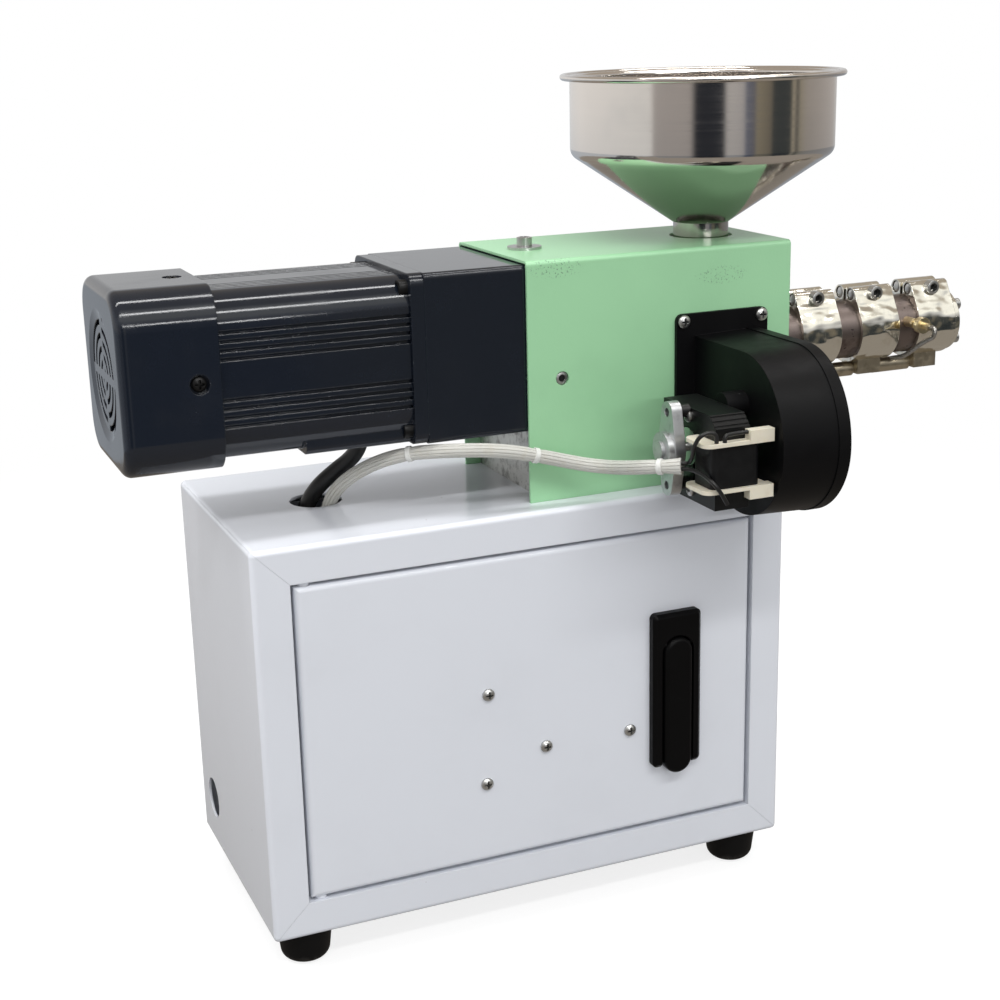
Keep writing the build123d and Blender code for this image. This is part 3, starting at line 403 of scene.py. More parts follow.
def mint_green():
    """Fine-grained mint powder coat, scuffed at its front upper corners."""
    finish = Finish("mint_green", linear(163, 216, 169), 0.32, specular=0.6, edge=0.8 * MM)
    grain = finish.noise(1.5 * MM, 2.0, 0.5)
    finish.relief(grain, 0.12 * MM, 0.55)
    finish.tint(finish.mottle(55 * MM, 4.0, 0.4, 0.75, 0.2), linear(140, 190, 148))
    low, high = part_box("housing_cover")
    flecks = finish.mottle(1.1 * MM, 3.0, 0.585, 0.63, rough=0.7)
    for along, depth, reach in SCUFFS:
        zone = finish.near((low.x + along, low.y, high.z - depth), reach, SCUFF_STRETCH)
        scuff = finish.maths("MULTIPLY", flecks, finish.band(zone, 0.12, 0.55, 0.0, 0.8))
        finish.tint(scuff, linear(84, 112, 90))
    chips = finish.mottle(6 * MM, 3.0, 0.6, 0.66, rough=0.7)
    worn = finish.maths("MULTIPLY", chips, finish.edges(0.7 * MM))
    finish.tint(worn, linear(120, 150, 122))
    return finish.material


def motor_slate():
    """Dark slate gloss enamel on castings, with paint chips on the edges."""
    finish = Finish("motor_slate", linear(24, 29, 38), 0.07, edge=1.0 * MM)
    cast = finish.noise(4.5 * MM, 3.0, 0.6)
    finish.relief(cast, 0.03 * MM, 0.5)
    finish.gloss(finish.mottle(30 * MM, 4.0, 0.4, 0.7), 0.16)
    finish.tint(finish.mottle(18 * MM, 3.0, 0.5, 0.8, 0.4), linear(28, 33, 43))
    chips = finish.mottle(4.0 * MM, 4.0, 0.655, 0.675, rough=0.7)
    worn = finish.maths("MULTIPLY", chips, finish.edges(1.0 * MM))
    finish.tint(worn, linear(150, 152, 155))
    dust = finish.specks(30 * MM, 0.012, 0.024, 0.6)
    finish.tint(dust, linear(130, 132, 136))
    return finish.material


def hopper_steel():
    """Spun stainless bowl: bright, with fine lines round it and faint smears, and painted shade that
    darkens the cone below its top.
    """
    finish = Finish("hopper_steel", linear(229, 224, 219), 0.1, metallic=1.0, edge=0.4 * MM)
    lines = finish.streaks((6, 6, 2600), 3.0)
    finish.relief(lines, 0.004 * MM, 0.5)
    finish.gloss(finish.band(lines, 0.35, 0.75), 0.17)
    smear = finish.noise(45 * MM, 4.0, 0.6)
    finish.gloss(finish.band(smear, 0.5, 0.8, 0.0, 0.8), 0.24)
    wave = finish.noise(60 * MM, 1.0, 0.4)
    finish.relief(wave, 0.5 * MM, 0.35)
    # Painted shade: the cone is tinted grey below its top, standing in for the shade that it reflects.
    cone_shade = finish.band(finish.axis("Z"), CONE_TOP - CONE_BLEND, CONE_TOP, CONE_SHADE_AMOUNT, 0.0)
    finish.tint(cone_shade, linear(146, 142, 137))
    return finish.material


def band_steel():
    """Thin bright stainless sheet, rolled by hand, so that it shines in waves."""
    finish = Finish("band_steel", linear(232, 229, 219), 0.13, metallic=1.0, edge=0.4 * MM)
    wave = finish.noise(11 * MM, 1.0, 0.4, finish.stretched((0.8, 1.3, 1.3)))
    finish.relief(wave, 2.2 * MM, 0.8)
    scratch = finish.streaks((900, 240, 240), 4.0)
    finish.gloss(finish.band(scratch, 0.5, 0.75), 0.26)
    finish.tint(finish.mottle(14 * MM, 3.0, 0.5, 0.75, 0.3), linear(190, 178, 158))
    return finish.material


def terminal_steel():
    """Dull pressed steel of the terminal boxes and the conduit between them."""
    finish = Finish("terminal_steel", linear(188, 178, 158), 0.36, metallic=1.0, edge=0.4 * MM)
    finish.relief(finish.noise(6 * MM, 3.0), 0.15 * MM, 0.5)
    finish.tint(finish.mottle(5 * MM, 4.0, 0.5, 0.75, 0.5), linear(140, 130, 112))
    finish.gloss(finish.mottle(3 * MM, 3.0, 0.45, 0.7), 0.48)
    return finish.material


def barrel_steel():
    """Turned steel, tinted brown-grey by heat, with smudges."""
    finish = Finish("barrel_steel", linear(132, 121, 117), 0.4, metallic=1.0, edge=0.4 * MM)
    turned = finish.streaks((2200, 30, 30), 3.0)
    finish.relief(turned, 0.01 * MM, 0.6)
    finish.tint(finish.mottle(12 * MM, 4.0, 0.5, 0.75, 0.75, rough=0.65), linear(72, 58, 54))
    spots = finish.mottle(4 * MM, 4.0, 0.64, 0.68, rough=0.7)
    finish.tint(spots, linear(28, 22, 24))
    finish.gloss(spots, 0.6)
    return finish.material


def raw_aluminium():
    """Milled plate with blotches of dull oxide and old marks."""
    finish = Finish("raw_aluminium", linear(204, 205, 202), 0.42, metallic=1.0, edge=0.6 * MM)
    milled = finish.streaks((260, 90, 900), 3.0)
    finish.relief(milled, 0.02 * MM, 0.6)
    blotch = finish.noise(7 * MM, 5.0, 0.7)
    finish.tint(finish.band(blotch, 0.48, 0.66, 0.0, 0.7), linear(134, 135, 132))
    finish.gloss(finish.band(blotch, 0.45, 0.6), 0.6)
    streaks = finish.streaks((300, 300, 60), 3.0)
    finish.tint(finish.band(streaks, 0.6, 0.72, 0.0, 0.7), linear(92, 92, 90))
    return finish.material


def bright_zinc():
    """Zinc plate on small steel parts."""
    finish = Finish("bright_zinc", linear(196, 197, 196), 0.3, metallic=1.0, edge=0.15 * MM)
    haze = finish.noise(3.0 * MM, 4.0, 0.65)
    finish.gloss(finish.band(haze, 0.4, 0.7), 0.42)
    finish.tint(finish.band(haze, 0.55, 0.8, 0.0, 0.5), linear(150, 150, 144))
    finish.relief(finish.noise(0.8 * MM, 3.0), 0.01 * MM, 0.5)
    return finish.material


def die_cast_zinc():
    """Satin die casting of the bearing brackets."""
    finish = Finish("die_cast_zinc", linear(196, 198, 200), 0.4, edge=0.5 * MM)
    finish.relief(finish.noise(1.4 * MM, 3.0), 0.03 * MM, 0.6)
    finish.tint(finish.mottle(6 * MM, 4.0, 0.5, 0.75, 0.6), linear(150, 153, 156))
    finish.gloss(finish.mottle(9 * MM, 3.0, 0.45, 0.7), 0.55)
    core_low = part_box("blower_core")[0]
    post_start = core_low.x - POST_STANDOFF
    post = finish.band(finish.axis("X"), post_start, post_start + POST_BLEND)
    finish.tint(post, linear(10, 10, 11))
    finish.metal(finish.maths("SUBTRACT", 1.0, post))
    return finish.material


def black_plastic():
    """Matte moulded plastic with a fine spark-eroded grain and a little dust."""
    finish = Finish("black_plastic", linear(7, 7, 9), 0.44, specular=0.15, edge=0.6 * MM)
    finish.relief(finish.noise(0.9 * MM, 2.0), 0.03 * MM, 0.5)
    finish.gloss(finish.mottle(35 * MM, 4.0, 0.4, 0.75), 0.6)
    dust = finish.specks(24 * MM, 0.012, 0.026, 0.6)
    finish.tint(dust, linear(110, 110, 110))
    finish.tint(finish.mottle(20 * MM, 3.0, 0.55, 0.8, 0.4), linear(10, 10, 12))
    return finish.material


def handle_black():
    """Satin black coating of the door handle, glossier in patches and a little lighter along its edges.
    """
    finish = Finish("handle_black", linear(8, 8, 9), 0.4, specular=0.1, edge=0.6 * MM)
    finish.relief(finish.noise(0.7 * MM, 2.0), 0.02 * MM, 0.5)
    finish.gloss(finish.mottle(16 * MM, 3.0, 0.4, 0.7), 0.3)
    # A little lighter along the edges.
    finish.tint(finish.maths("MULTIPLY", finish.edges(0.6 * MM), 0.25), linear(40, 40, 42))
    return finish.material


def core_black():
    """Black-dipped stack of laminations with fine lines across it."""
    finish = Finish("core_black", linear(11, 12, 13), 0.4, specular=0.3, edge=0.3 * MM)
    sheets = finish.maths("SINE", finish.maths("MULTIPLY", finish.axis("X"), tau / LAMINATION))
    finish.relief(sheets, 0.03 * MM, 0.6)
    finish.relief(finish.noise(2.5 * MM, 4.0), 0.05 * MM, 0.6)
    finish.tint(finish.mottle(7 * MM, 4.0, 0.55, 0.75, 0.5), linear(26, 26, 26))
    return finish.material


def coil_tape():
    """Black insulating tape wound round the coil, with creases and an overlap."""
    finish = Finish("coil_tape", linear(13, 14, 16), 0.33, specular=0.3, edge=0.6 * MM)
    crease = finish.streaks((60, 60, 420), 3.0)
    finish.relief(crease, 0.12 * MM, 0.6)
    finish.relief(finish.noise(5 * MM, 3.0), 0.2 * MM, 0.5)
    finish.gloss(finish.mottle(6 * MM, 3.0, 0.4, 0.7), 0.46)
    return finish.material


def bobbin_cream():
    """Cream nylon, a little waxy."""
    finish = Finish("bobbin_cream", linear(226, 219, 200), 0.4, specular=0.45, edge=0.4 * MM)
    finish.shader.inputs["Subsurface Weight"].default_value = 0.15
    finish.shader.inputs["Subsurface Radius"].default_value = (2 * MM, 1.5 * MM, 1 * MM)
    finish.relief(finish.noise(1.6 * MM, 3.0), 0.03 * MM, 0.6)
    finish.tint(finish.mottle(8 * MM, 3.0, 0.5, 0.75, 0.45), linear(206, 196, 172))
    return finish.material


def foot_rubber():
    """Black moulded rubber, greyed at the floor edge."""
    finish = Finish("foot_rubber", linear(9, 9, 10), 0.6, specular=0.18, edge=0.6 * MM)
    finish.relief(finish.noise(1.2 * MM, 3.0), 0.05 * MM, 0.6)
    low_edge = finish.band(finish.axis("Z"), RUBBER_SCUFF_LOW, RUBBER_SCUFF_HIGH, 0.5, 0.0)
    patches = finish.mottle(4 * MM, 4.0, 0.4, 0.6)
    finish.tint(finish.maths("MULTIPLY", low_edge, patches), linear(70, 68, 66))
    return finish.material


def cable_black():
    """Smooth black cable jacket."""
    finish = Finish("cable_black", linear(24, 24, 25), 0.36)
    finish.relief(finish.noise(1.5 * MM, 3.0), 0.03 * MM, 0.5)
    finish.gloss(finish.mottle(9 * MM, 3.0, 0.45, 0.7), 0.5)
    return finish.material


def sleeve_white():
    """Off-white woven glass sleeve."""
    finish = Finish("sleeve_white", linear(206, 205, 199), 0.75, specular=0.3)
    finish.relief(finish.noise(0.5 * MM, 3.0), 0.1 * MM, 0.7)
    finish.tint(finish.mottle(6 * MM, 4.0, 0.5, 0.75, 0.5), linear(200, 196, 184))
    return finish.material


def tie_white():
    """White nylon of the cable ties."""
    finish = Finish("tie_white", linear(226, 226, 222), 0.4, specular=0.45, edge=0.2 * MM)
    finish.relief(finish.noise(0.6 * MM, 2.0), 0.02 * MM, 0.5)
    finish.tint(finish.mottle(3 * MM, 3.0, 0.5, 0.75, 0.4), linear(204, 204, 198))
    return finish.material


def braid_steel():
    """Fine braided wire round the probe's lead."""
    finish = Finish("braid_steel", linear(176, 174, 170), 0.34, metallic=1.0)
    finish.relief(finish.cells(0.7 * MM), 0.12 * MM, 0.8)
    finish.tint(finish.mottle(1.2 * MM, 3.0, 0.45, 0.7, 0.7), linear(92, 90, 86))
    return finish.material


def black_oxide():
    """Blackened steel screws."""
    finish = Finish("black_oxide", linear(20, 20, 21), 0.36, metallic=0.4, specular=0.4, edge=0.2 * MM)
    finish.gloss(finish.mottle(2 * MM, 3.0, 0.45, 0.7), 0.5)
    finish.tint(finish.mottle(1.5 * MM, 3.0, 0.55, 0.75, 0.5), linear(46, 45, 44))
    return finish.material


def recess_painted_shade():
    """Painted shade on the bottom of a screw's recess."""
    finish = Finish("recess_painted_shade", linear(40, 40, 40), 0.5, metallic=0.6, specular=0.3)
    finish.tint(finish.mottle(0.8 * MM, 3.0, 0.45, 0.7, 0.6), linear(22, 22, 22))
    return finish.material


def probe_brass():
    """Turned brass, a little tarnished."""
    finish = Finish("probe_brass", linear(228, 214, 178), 0.28, metallic=1.0, edge=0.2 * MM)
    finish.tint(finish.mottle(3 * MM, 4.0, 0.5, 0.75, 0.5), linear(178, 152, 104))
    finish.gloss(finish.mottle(2 * MM, 3.0, 0.45, 0.7), 0.4)
    return finish.material


FINISHES = {
    cabinet_white: (
        "cabinet_top",
        "cabinet_base",
        "cabinet_left_side",
        "cabinet_right_side",
        "cabinet_back_panel",
        "door_panel",
        "hinge_pins",
    ),
    mint_green: ("housing_cover",),
    motor_slate: ("gearhead", "motor_flange", "motor_body", "motor_fan_cowl"),
    hopper_steel: ("hopper", "hopper_neck"),
    band_steel: ("heater_band_1", "heater_band_2", "heater_band_3", "die_head"),
    terminal_steel: ("heater_terminals", "heater_leads"),
    barrel_steel: ("barrel", "extruder_screw"),
    raw_aluminium: ("base_plate", "mount_plate", "feed_block"),
    bright_zinc: ("blower_rotor",),
    die_cast_zinc: ("blower_brackets",),
    black_plastic: ("blower_housing", "blower_cover", "blower_wheel", "motor_fan"),
    handle_black: ("handle_base", "handle_lever"),
    core_black: ("blower_core",),
    coil_tape: ("blower_coil",),
    bobbin_cream: ("blower_bobbin",),
    foot_rubber: ("foot_front_left", "foot_front_right", "foot_back_left", "foot_back_right"),
    cable_black: ("motor_cable", "blower_leads"),
    sleeve_white: ("sleeved_cable",),
    probe_brass: ("thermocouple",),
    braid_steel: ("probe_lead",),
    tie_white: (),
    black_oxide: (),
    recess_painted_shade: (),
}

materials = {}
for make_finish, node_names in FINISHES.items():
    material = make_finish()
    materials[make_finish.__name__] = material
    for node_name in node_names:
        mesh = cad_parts[node_name].data
        mesh.materials.clear()
        mesh.materials.append(material)


# Small pieces that the solids leave out


def add_piece(name, shape, finish_names, body="root", place=(0, 0, 0), facing=UP):
    """A mesh under construction, turned from +Z to its facing and set in place on a body."""
    turn = Vector(UP).rotation_difference(Vector(facing)).to_matrix().to_4x4()
    bmesh.ops.transform(shape, matrix=Matrix.Translation(place) @ turn, verts=shape.verts)
    bmesh.ops.recalc_face_normals(shape, faces=shape.faces)
    mesh = bpy.data.meshes.new(name)
    shape.to_mesh(mesh)
    shape.free()
    mesh.shade_smooth()
    mesh.set_sharp_from_angle(angle=SHARP_ANGLE)
    for finish_name in finish_names:
        mesh.materials.append(materials[finish_name])
    piece = bpy.data.objects.new(name, mesh)
    scene.collection.objects.link(piece)
    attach(piece, body)
    return piece


def join_rows(shape, rows, closed=False):
    """Quads between rows of vertices, each row a closed loop."""
    pairs = list(zip(rows, rows[1:]))
    if closed:
        pairs.append((rows[-1], rows[0]))
    for lower, upper in pairs:
        for index in range(len(lower)):
            after = (index + 1) % len(lower)
            shape.faces.new((lower[index], lower[after], upper[after], upper[index]))


def no_drive(x, y, size):
    """A plain top."""
    return False


def cross_drive(x, y, size):
    """Inside a cross recess."""
    arm, half = size / 2, size * CROSS_SHARE
    return (abs(x) < half and abs(y) < arm) or (abs(y) < half and abs(x) < arm)


def hex_drive(x, y, size):
    """Inside a hexagon recess."""
    slant = y * cos(pi / 6)
    return max(abs(x), abs(x / 2 + slant), abs(x / 2 - slant)) < size / 2


def screw_head(diameter, height, crown, drive, drive_size=0.0, drive_depth=0.0):
    """A head on the X-Y plane: a crowned top with its recess pressed in, and a straight side."""
    shape = bmesh.new()
    radius = diameter / 2
    rows = []
    pressed = set()
    for ring in range(HEAD_RINGS + 1):
        reach = radius * max(ring, HEAD_CORE) / HEAD_RINGS
        row = []
        for step in range(HEAD_STEPS):
            x = reach * cos(tau * step / HEAD_STEPS)
            y = reach * sin(tau * step / HEAD_STEPS)
            z = height - crown * (reach / radius) ** CROWN_POWER
            sunk = drive(x, y, drive_size)
            vert = shape.verts.new((x, y, z - drive_depth * sunk))
            if sunk:
                pressed.add(vert)
            row.append(vert)
        rows.append(row)
    foot = [shape.verts.new((vert.co.x, vert.co.y, 0)) for vert in rows[-1]]
    rows.append(foot)
    join_rows(shape, rows)
    shape.faces.new(rows[0])
    shape.faces.new(foot)
    for face in shape.faces:
        # Faces inside the recess take the second finish, which paints shade there.
        face.material_index = int(pressed.issuperset(face.verts))
    return shape


def ring_band(inner, outer, width, edge):
    """A flat ring round the Z axis with rounded edges."""
    shape = bmesh.new()
    half = width / 2
    profile = (
        (inner, -half),
        (outer - edge, -half),
        (outer, -half + edge),
        (outer, half - edge),
        (outer - edge, half),
        (inner, half),
    )
    rows = []
    for reach, height in profile:
        row = []
        for step in range(HEAD_STEPS):
            angle = tau * step / HEAD_STEPS
            row.append(shape.verts.new((reach * cos(angle), reach * sin(angle), height)))
        rows.append(row)
    join_rows(shape, rows, closed=True)
    return shape


def pan_screw(name, place, facing, size, finish_name="bright_zinc", slot_name="zinc", body="root"):
    """A cross-recessed pan head screw."""
    span, depth = size * CROSS_SPAN, size * CROSS_DEPTH
    shape = screw_head(size, size * PAN_HEIGHT, size * PAN_CROWN, cross_drive, span, depth)
    return add_piece(name, shape, (finish_name, "recess_painted_shade"), body, place, facing)


def cap_screw(name, place, facing, size, height, finish_name="bright_zinc", slot_name="zinc"):
    """A socket head cap screw."""
    span, depth = size * SOCKET_SPAN, height * SOCKET_DEPTH
    shape = screw_head(size, height, size * CAP_CROWN, hex_drive, span, depth)
    return add_piece(name, shape, (finish_name, "recess_painted_shade"), "root", place, facing)


def plain_head(name, place, facing, diameter, height, crown):
    """A zinc-plated washer or pin, with a plain top."""
    shape = screw_head(diameter, height, crown, no_drive)
    return add_piece(name, shape, ("bright_zinc",), place=place, facing=facing)


def middle(node_name):
    """Middle of a node's box."""
    low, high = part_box(node_name)
    return (low + high) / 2


def add_door_screws():
    """The screws on the face of the door."""
    door_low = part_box("door_panel")[0]
    for number, (x, z) in enumerate(DOOR_SCREWS):
        pan_screw(f"door_screw_{number}", (x * MM, door_low.y, z * MM), OUT, DOOR_SCREW, body="door")


def add_cover_screws():
    """The screw with its washer on top of the cover, and the low one on its front."""
    cover_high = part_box("housing_cover")[1]
    plate_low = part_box("mount_plate")[0]
    plate_x = middle("mount_plate").x
    middle_y = middle("housing_cover").y
    washer = (WASHER_DIAMETER, WASHER_THICKNESS, WASHER_CROWN)
    plain_head("cover_washer", (plate_x, middle_y, cover_high.z), UP, *washer)
    cap_screw("cover_screw", (plate_x, middle_y, cover_high.z + WASHER_THICKNESS), UP, *COVER_SCREW)
    cap_screw("cover_side_screw", (plate_x, plate_low.y, middle("barrel").z), OUT, *COVER_SIDE_SCREW)


def add_blower_screws():
    """The two screws of the blower's flange and the two in its core."""
    cover_low, cover_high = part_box("housing_cover")
    flange_right = cover_high.x - BLOWER_FLANGE_INSET
    flange_left = flange_right - BLOWER_FLANGE_WIDTH
    y = cover_low.y - BLOWER_FLANGE_THICKNESS
    z = cover_high.z - BLOWER_FLANGE_DROP - BLOWER_SCREW_DROP
    pan_screw("blower_screw_left", (flange_left + BLOWER_SCREW_INSET, y, z), OUT, BLOWER_SCREW)
    pan_screw("blower_screw_right", (flange_right - BLOWER_SCREW_INSET, y, z), OUT, BLOWER_SCREW)
    core_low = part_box("blower_core")[0]
    for side, core_y, core_z in CORE_SCREWS:
        pan_screw(f"core_screw_{side}", (core_low.x, core_y * MM, core_z * MM), LEFT, CORE_SCREW)


def add_motor_screws():
    """Four bolts on the motor's flange, and a screw in each pocket of its cowl."""
    painted = ("black_oxide", "motor_slate")
    flange_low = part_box("motor_flange")[0]
    centre = middle("motor_flange")
    for side_y in (-1, 1):
        for side_z in (-1, 1):
            y = centre.y + side_y * FLANGE_BOLT_REACH
            z = centre.z + side_z * FLANGE_BOLT_REACH
            name = f"flange_bolt_{side_y}_{side_z}"
            cap_screw(name, (flange_low.x, y, z), LEFT, *FLANGE_BOLT, *painted)

    cowl_low, cowl_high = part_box("motor_fan_cowl")
    pocket = middle("motor_fan_cowl")
    pocket.x = cowl_high.x - COWL_POCKET_INSET
    seat = (cowl_high.y - cowl_low.y) / 2 - COWL_POCKET_DEPTH
    for name, facing in (("front", OUT), ("top", UP), ("back", BACK), ("bottom", DOWN)):
        pan_screw(f"cowl_screw_{name}", pocket + seat * Vector(facing), facing, COWL_SCREW, *painted)


def add_barrel_screws():
    """A clamp screw and two ear pins on each heater band, and the bolts of the die."""
    middle_y = middle("housing_cover").y
    pin = (PIN_DIAMETER, PIN_LENGTH, PIN_CROWN)
    for number in (1, 2, 3):
        band_name = f"heater_band_{number}"
        band_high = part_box(band_name)[1]
        screw_place = (middle(band_name).x, middle_y - BAND_SCREW_REACH, band_high.z - BAND_SCREW_DROP)
        cap_screw(f"band_screw_{number}", screw_place, OUT, *BAND_SCREW)
        for side, ear_y in (("front", middle_y - EAR_PITCH / 2), ("back", middle_y + EAR_PITCH / 2)):
            pin_foot = (band_high.x, ear_y, band_high.z - EAR_INSET)
            plain_head(f"ear_pin_{number}_{side}", pin_foot, LEFT, *pin)

    barrel_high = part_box("barrel")[1]
    barrel_z = middle("barrel").z
    for quarter in range(4):
        angle = pi / 4 + quarter * pi / 2
        y = middle_y + DIE_BOLT_REACH * cos(angle)
        z = barrel_z + DIE_BOLT_REACH * sin(angle)
        cap_screw(f"die_bolt_{quarter}", (barrel_high.x + DIE_FLANGE, y, z), RIGHT, *DIE_BOLT)


# Cables


def route_points(route, count):
    """Points evenly spread along the smooth line of a route, which is given from the cable hole."""
    curve = bpy.data.curves.new("route", "CURVE")
    curve.dimensions = "3D"
    curve.resolution_u = ROUTE_DETAIL
    spline = curve.splines.new("NURBS")
    spline.points.add(len(route) - 1)
    for point, offset in zip(spline.points, route):
        place = CABLE_HOLE + Vector(offset) * MM
        point.co = (*place, 1)
    spline.order_u = ROUTE_ORDER
    spline.use_endpoint_u = True
    holder = bpy.data.objects.new("route", curve)
    line = bpy.data.meshes.new_from_object(holder)
    fine = [vert.co.copy() for vert in line.vertices]
    bpy.data.objects.remove(holder)
    bpy.data.curves.remove(curve)
    bpy.data.meshes.remove(line)
    lengths = [0.0]
    for before, after in zip(fine, fine[1:]):
        lengths.append(lengths[-1] + (after - before).length)
    points = []
    segment = 0
    for number in range(count):
        goal = lengths[-1] * number / (count - 1)
        while segment < len(fine) - 2 and lengths[segment + 1] < goal:
            segment += 1
        span = lengths[segment + 1] - lengths[segment]
        points.append(fine[segment].lerp(fine[segment + 1], (goal - lengths[segment]) / span))
    return points, lengths[-1]


def tube_frames(points):
    """Tangent and two cross directions at each point, without sudden twists."""
    frames = []
    across = Vector(UP).cross(points[1] - points[0]).normalized()
    for index in range(len(points)):
        before = points[max(index - 1, 0)]
        after = points[min(index + 1, len(points) - 1)]
        tangent = (after - before).normalized()
        across = (across - tangent * across.dot(tangent)).normalized()
        frames.append((tangent, across, tangent.cross(across)))
    return frames


def tube(points, radius, steps):
    """A closed tube whose radius is given by a function of the share along it and the angle round it."""
    shape = bmesh.new()
    rows = []
    frames = tube_frames(points)
    for index, (point, (tangent, across, upright)) in enumerate(zip(points, frames)):
        share = index / (len(points) - 1)
        row = []
        for step in range(steps):
            angle = tau * step / steps
            reach = radius(share, angle)
            row.append(shape.verts.new(point + reach * (across * cos(angle) + upright * sin(angle))))
        rows.append(row)
    join_rows(shape, rows)
    shape.faces.new(rows[0])
    shape.faces.new(rows[-1])
    return shape


def add_cables():
    """The black motor cable and the ribbed white sleeve with its ties and flared end."""
    points, length = route_points(CABLE_ROUTE, CABLE_RINGS)
    shape = tube(points, lambda share, angle: CABLE_DIAMETER / 2, CABLE_SIDES)
    cable = add_piece("motor_cable_jacket", shape, ("cable_black",))
    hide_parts("motor_cable")

    points, length = route_points(SLEEVE_ROUTE, SLEEVE_RINGS)

    def ribbed(share, angle):
        """Threads along the sleeve, pulled in at the ties and spread at its open end."""
        ridge = max(0.0, cos(SLEEVE_THREADS * angle + SLEEVE_TWIST * share))
        ribs = 1 - SLEEVE_RIB * ridge ** RIB_POWER
        waist = 1.0
        for tie_share in TIE_SHARES:
            waist -= TIE_WAIST * max(0.0, 1 - abs(share - tie_share) / TIE_REACH)
        flare = 1 + SLEEVE_FLARE * max(0.0, (share - FLARE_START) / (1 - FLARE_START)) ** 2
        return SLEEVE_DIAMETER / 2 * ribs * waist * flare

    shape = tube(points, ribbed, SLEEVE_SIDES)
    sleeve = add_piece("woven_sleeve", shape, ("sleeve_white",))
    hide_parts("sleeved_cable")
    frames = tube_frames(points)
    inner = SLEEVE_DIAMETER / 2 * (1 - TIE_WAIST)
    for number, tie_share in enumerate(TIE_SHARES):
        index = round(tie_share * (len(points) - 1))
        tangent = frames[index][0]
        band = ring_band(inner - TIE_SINK, inner + TIE_HEIGHT, TIE_WIDTH, TIE_EDGE)
        tie = add_piece(
            f"tie_{number}", band, ("tie_white",), place=points[index], facing=tangent
        )


add_door_screws()
add_cover_screws()
add_blower_screws()
add_motor_screws()
add_barrel_screws()
add_cables()


# Camera


def aim_camera():
    """The photograph's view: a level heading, tipped down and rolled a little."""
    forward = Vector(
        (sin(CAMERA_YAW) * cos(CAMERA_PITCH), cos(CAMERA_YAW) * cos(CAMERA_PITCH), -sin(CAMERA_PITCH))
    )
    level_right = Vector((cos(CAMERA_YAW), -sin(CAMERA_YAW), 0))
    level_up = level_right.cross(forward)
    right = level_right * cos(CAMERA_ROLL) + level_up * sin(CAMERA_ROLL)
    up = level_up * cos(CAMERA_ROLL) - level_right * sin(CAMERA_ROLL)
    lens = bpy.data.cameras.new("camera")
    lens.sensor_width = CAMERA_SENSOR
    lens.lens = CAMERA_LENS
    camera = bpy.data.objects.new("camera", lens)
    turn = Matrix((right, up, -forward)).transposed().to_4x4()
    camera.matrix_world = Matrix.Translation(CAMERA_PLACE) @ turn
    scene.collection.objects.link(camera)
    scene.camera = camera


aim_camera()


# Stage: a pale floor that fades into a white surround, lamps, and a room that only reflections show


def seen_straight(tree, path):
    """One for rays from the camera and rays that pass through a clear surface, else zero."""
    rays = path.outputs
    return calculate(tree, "MAXIMUM", rays["Is Camera Ray"], rays["Is Transmission Ray"])


def emission(tree, colour, strength=1.0):
    """A glowing surface."""
    node = tree.nodes.new("ShaderNodeEmission")
    feed(tree, node.inputs["Color"], colour)
    feed(tree, node.inputs["Strength"], strength)
    return node.outputs["Emission"]


def background(tree, colour, strength=1.0):
    """A surround of one colour, or of a colour by direction."""
    node = tree.nodes.new("ShaderNodeBackground")
    feed(tree, node.inputs["Color"], colour)
    feed(tree, node.inputs["Strength"], strength)
    return node.outputs["Background"]


def mix_shaders(tree, share, first, second):
    """The first shader where share is zero, the second where it is one."""
    node = tree.nodes.new("ShaderNodeMixShader")
    tree.links.new(share, node.inputs["Fac"])
    tree.links.new(first, node.inputs[1])
    tree.links.new(second, node.inputs[2])
    return node.outputs["Shader"]


def make_floor():
    """Round floor that keeps a soft shadow near the object and glows white towards its rim."""
    mesh = bpy.data.meshes.new("floor")
    shape = bmesh.new()
    bmesh.ops.create_circle(shape, cap_ends=True, radius=FLOOR_RADIUS, segments=FLOOR_SIDES)
    shape.to_mesh(mesh)
    shape.free()
    floor = bpy.data.objects.new("floor", mesh)
    scene.collection.objects.link(floor)
    material = bpy.data.materials.new("floor")
    material.use_nodes = True
    tree = material.node_tree
    tree.nodes.clear()
    output = tree.nodes.new("ShaderNodeOutputMaterial")
    place = tree.nodes.new("ShaderNodeTexCoord")
    distance = tree.nodes.new("ShaderNodeVectorMath")
    distance.operation = "LENGTH"
    tree.links.new(place.outputs["Object"], distance.inputs[0])
    fade = smooth_range(tree, distance.outputs["Value"], FLOOR_FADE, FLOOR_RADIUS)
    path = tree.nodes.new("ShaderNodeLightPath")
    seen = seen_straight(tree, path)
    matte = tree.nodes.new("ShaderNodeBsdfDiffuse")
    matte.inputs["Color"].default_value = FLOOR_SHADE
    glow = emission(tree, WHITE, calculate(tree, "MULTIPLY", seen, FLOOR_GLOW))
    near = tree.nodes.new("ShaderNodeAddShader")
    tree.links.new(matte.outputs["BSDF"], near.inputs[0])
    tree.links.new(glow, near.inputs[1])
    lit = mix_shaders(tree, fade, near.outputs["Shader"], emission(tree, WHITE, seen))
    # Reflections see the floor as a painted brown-grey glow instead of its lit white.
    mirrored = emission(tree, FLOOR_MIRRORED)
    surface = mix_shaders(tree, path.outputs["Is Glossy Ray"], lit, mirrored)
    tree.links.new(surface, output.inputs["Surface"])
    mesh.materials.append(material)


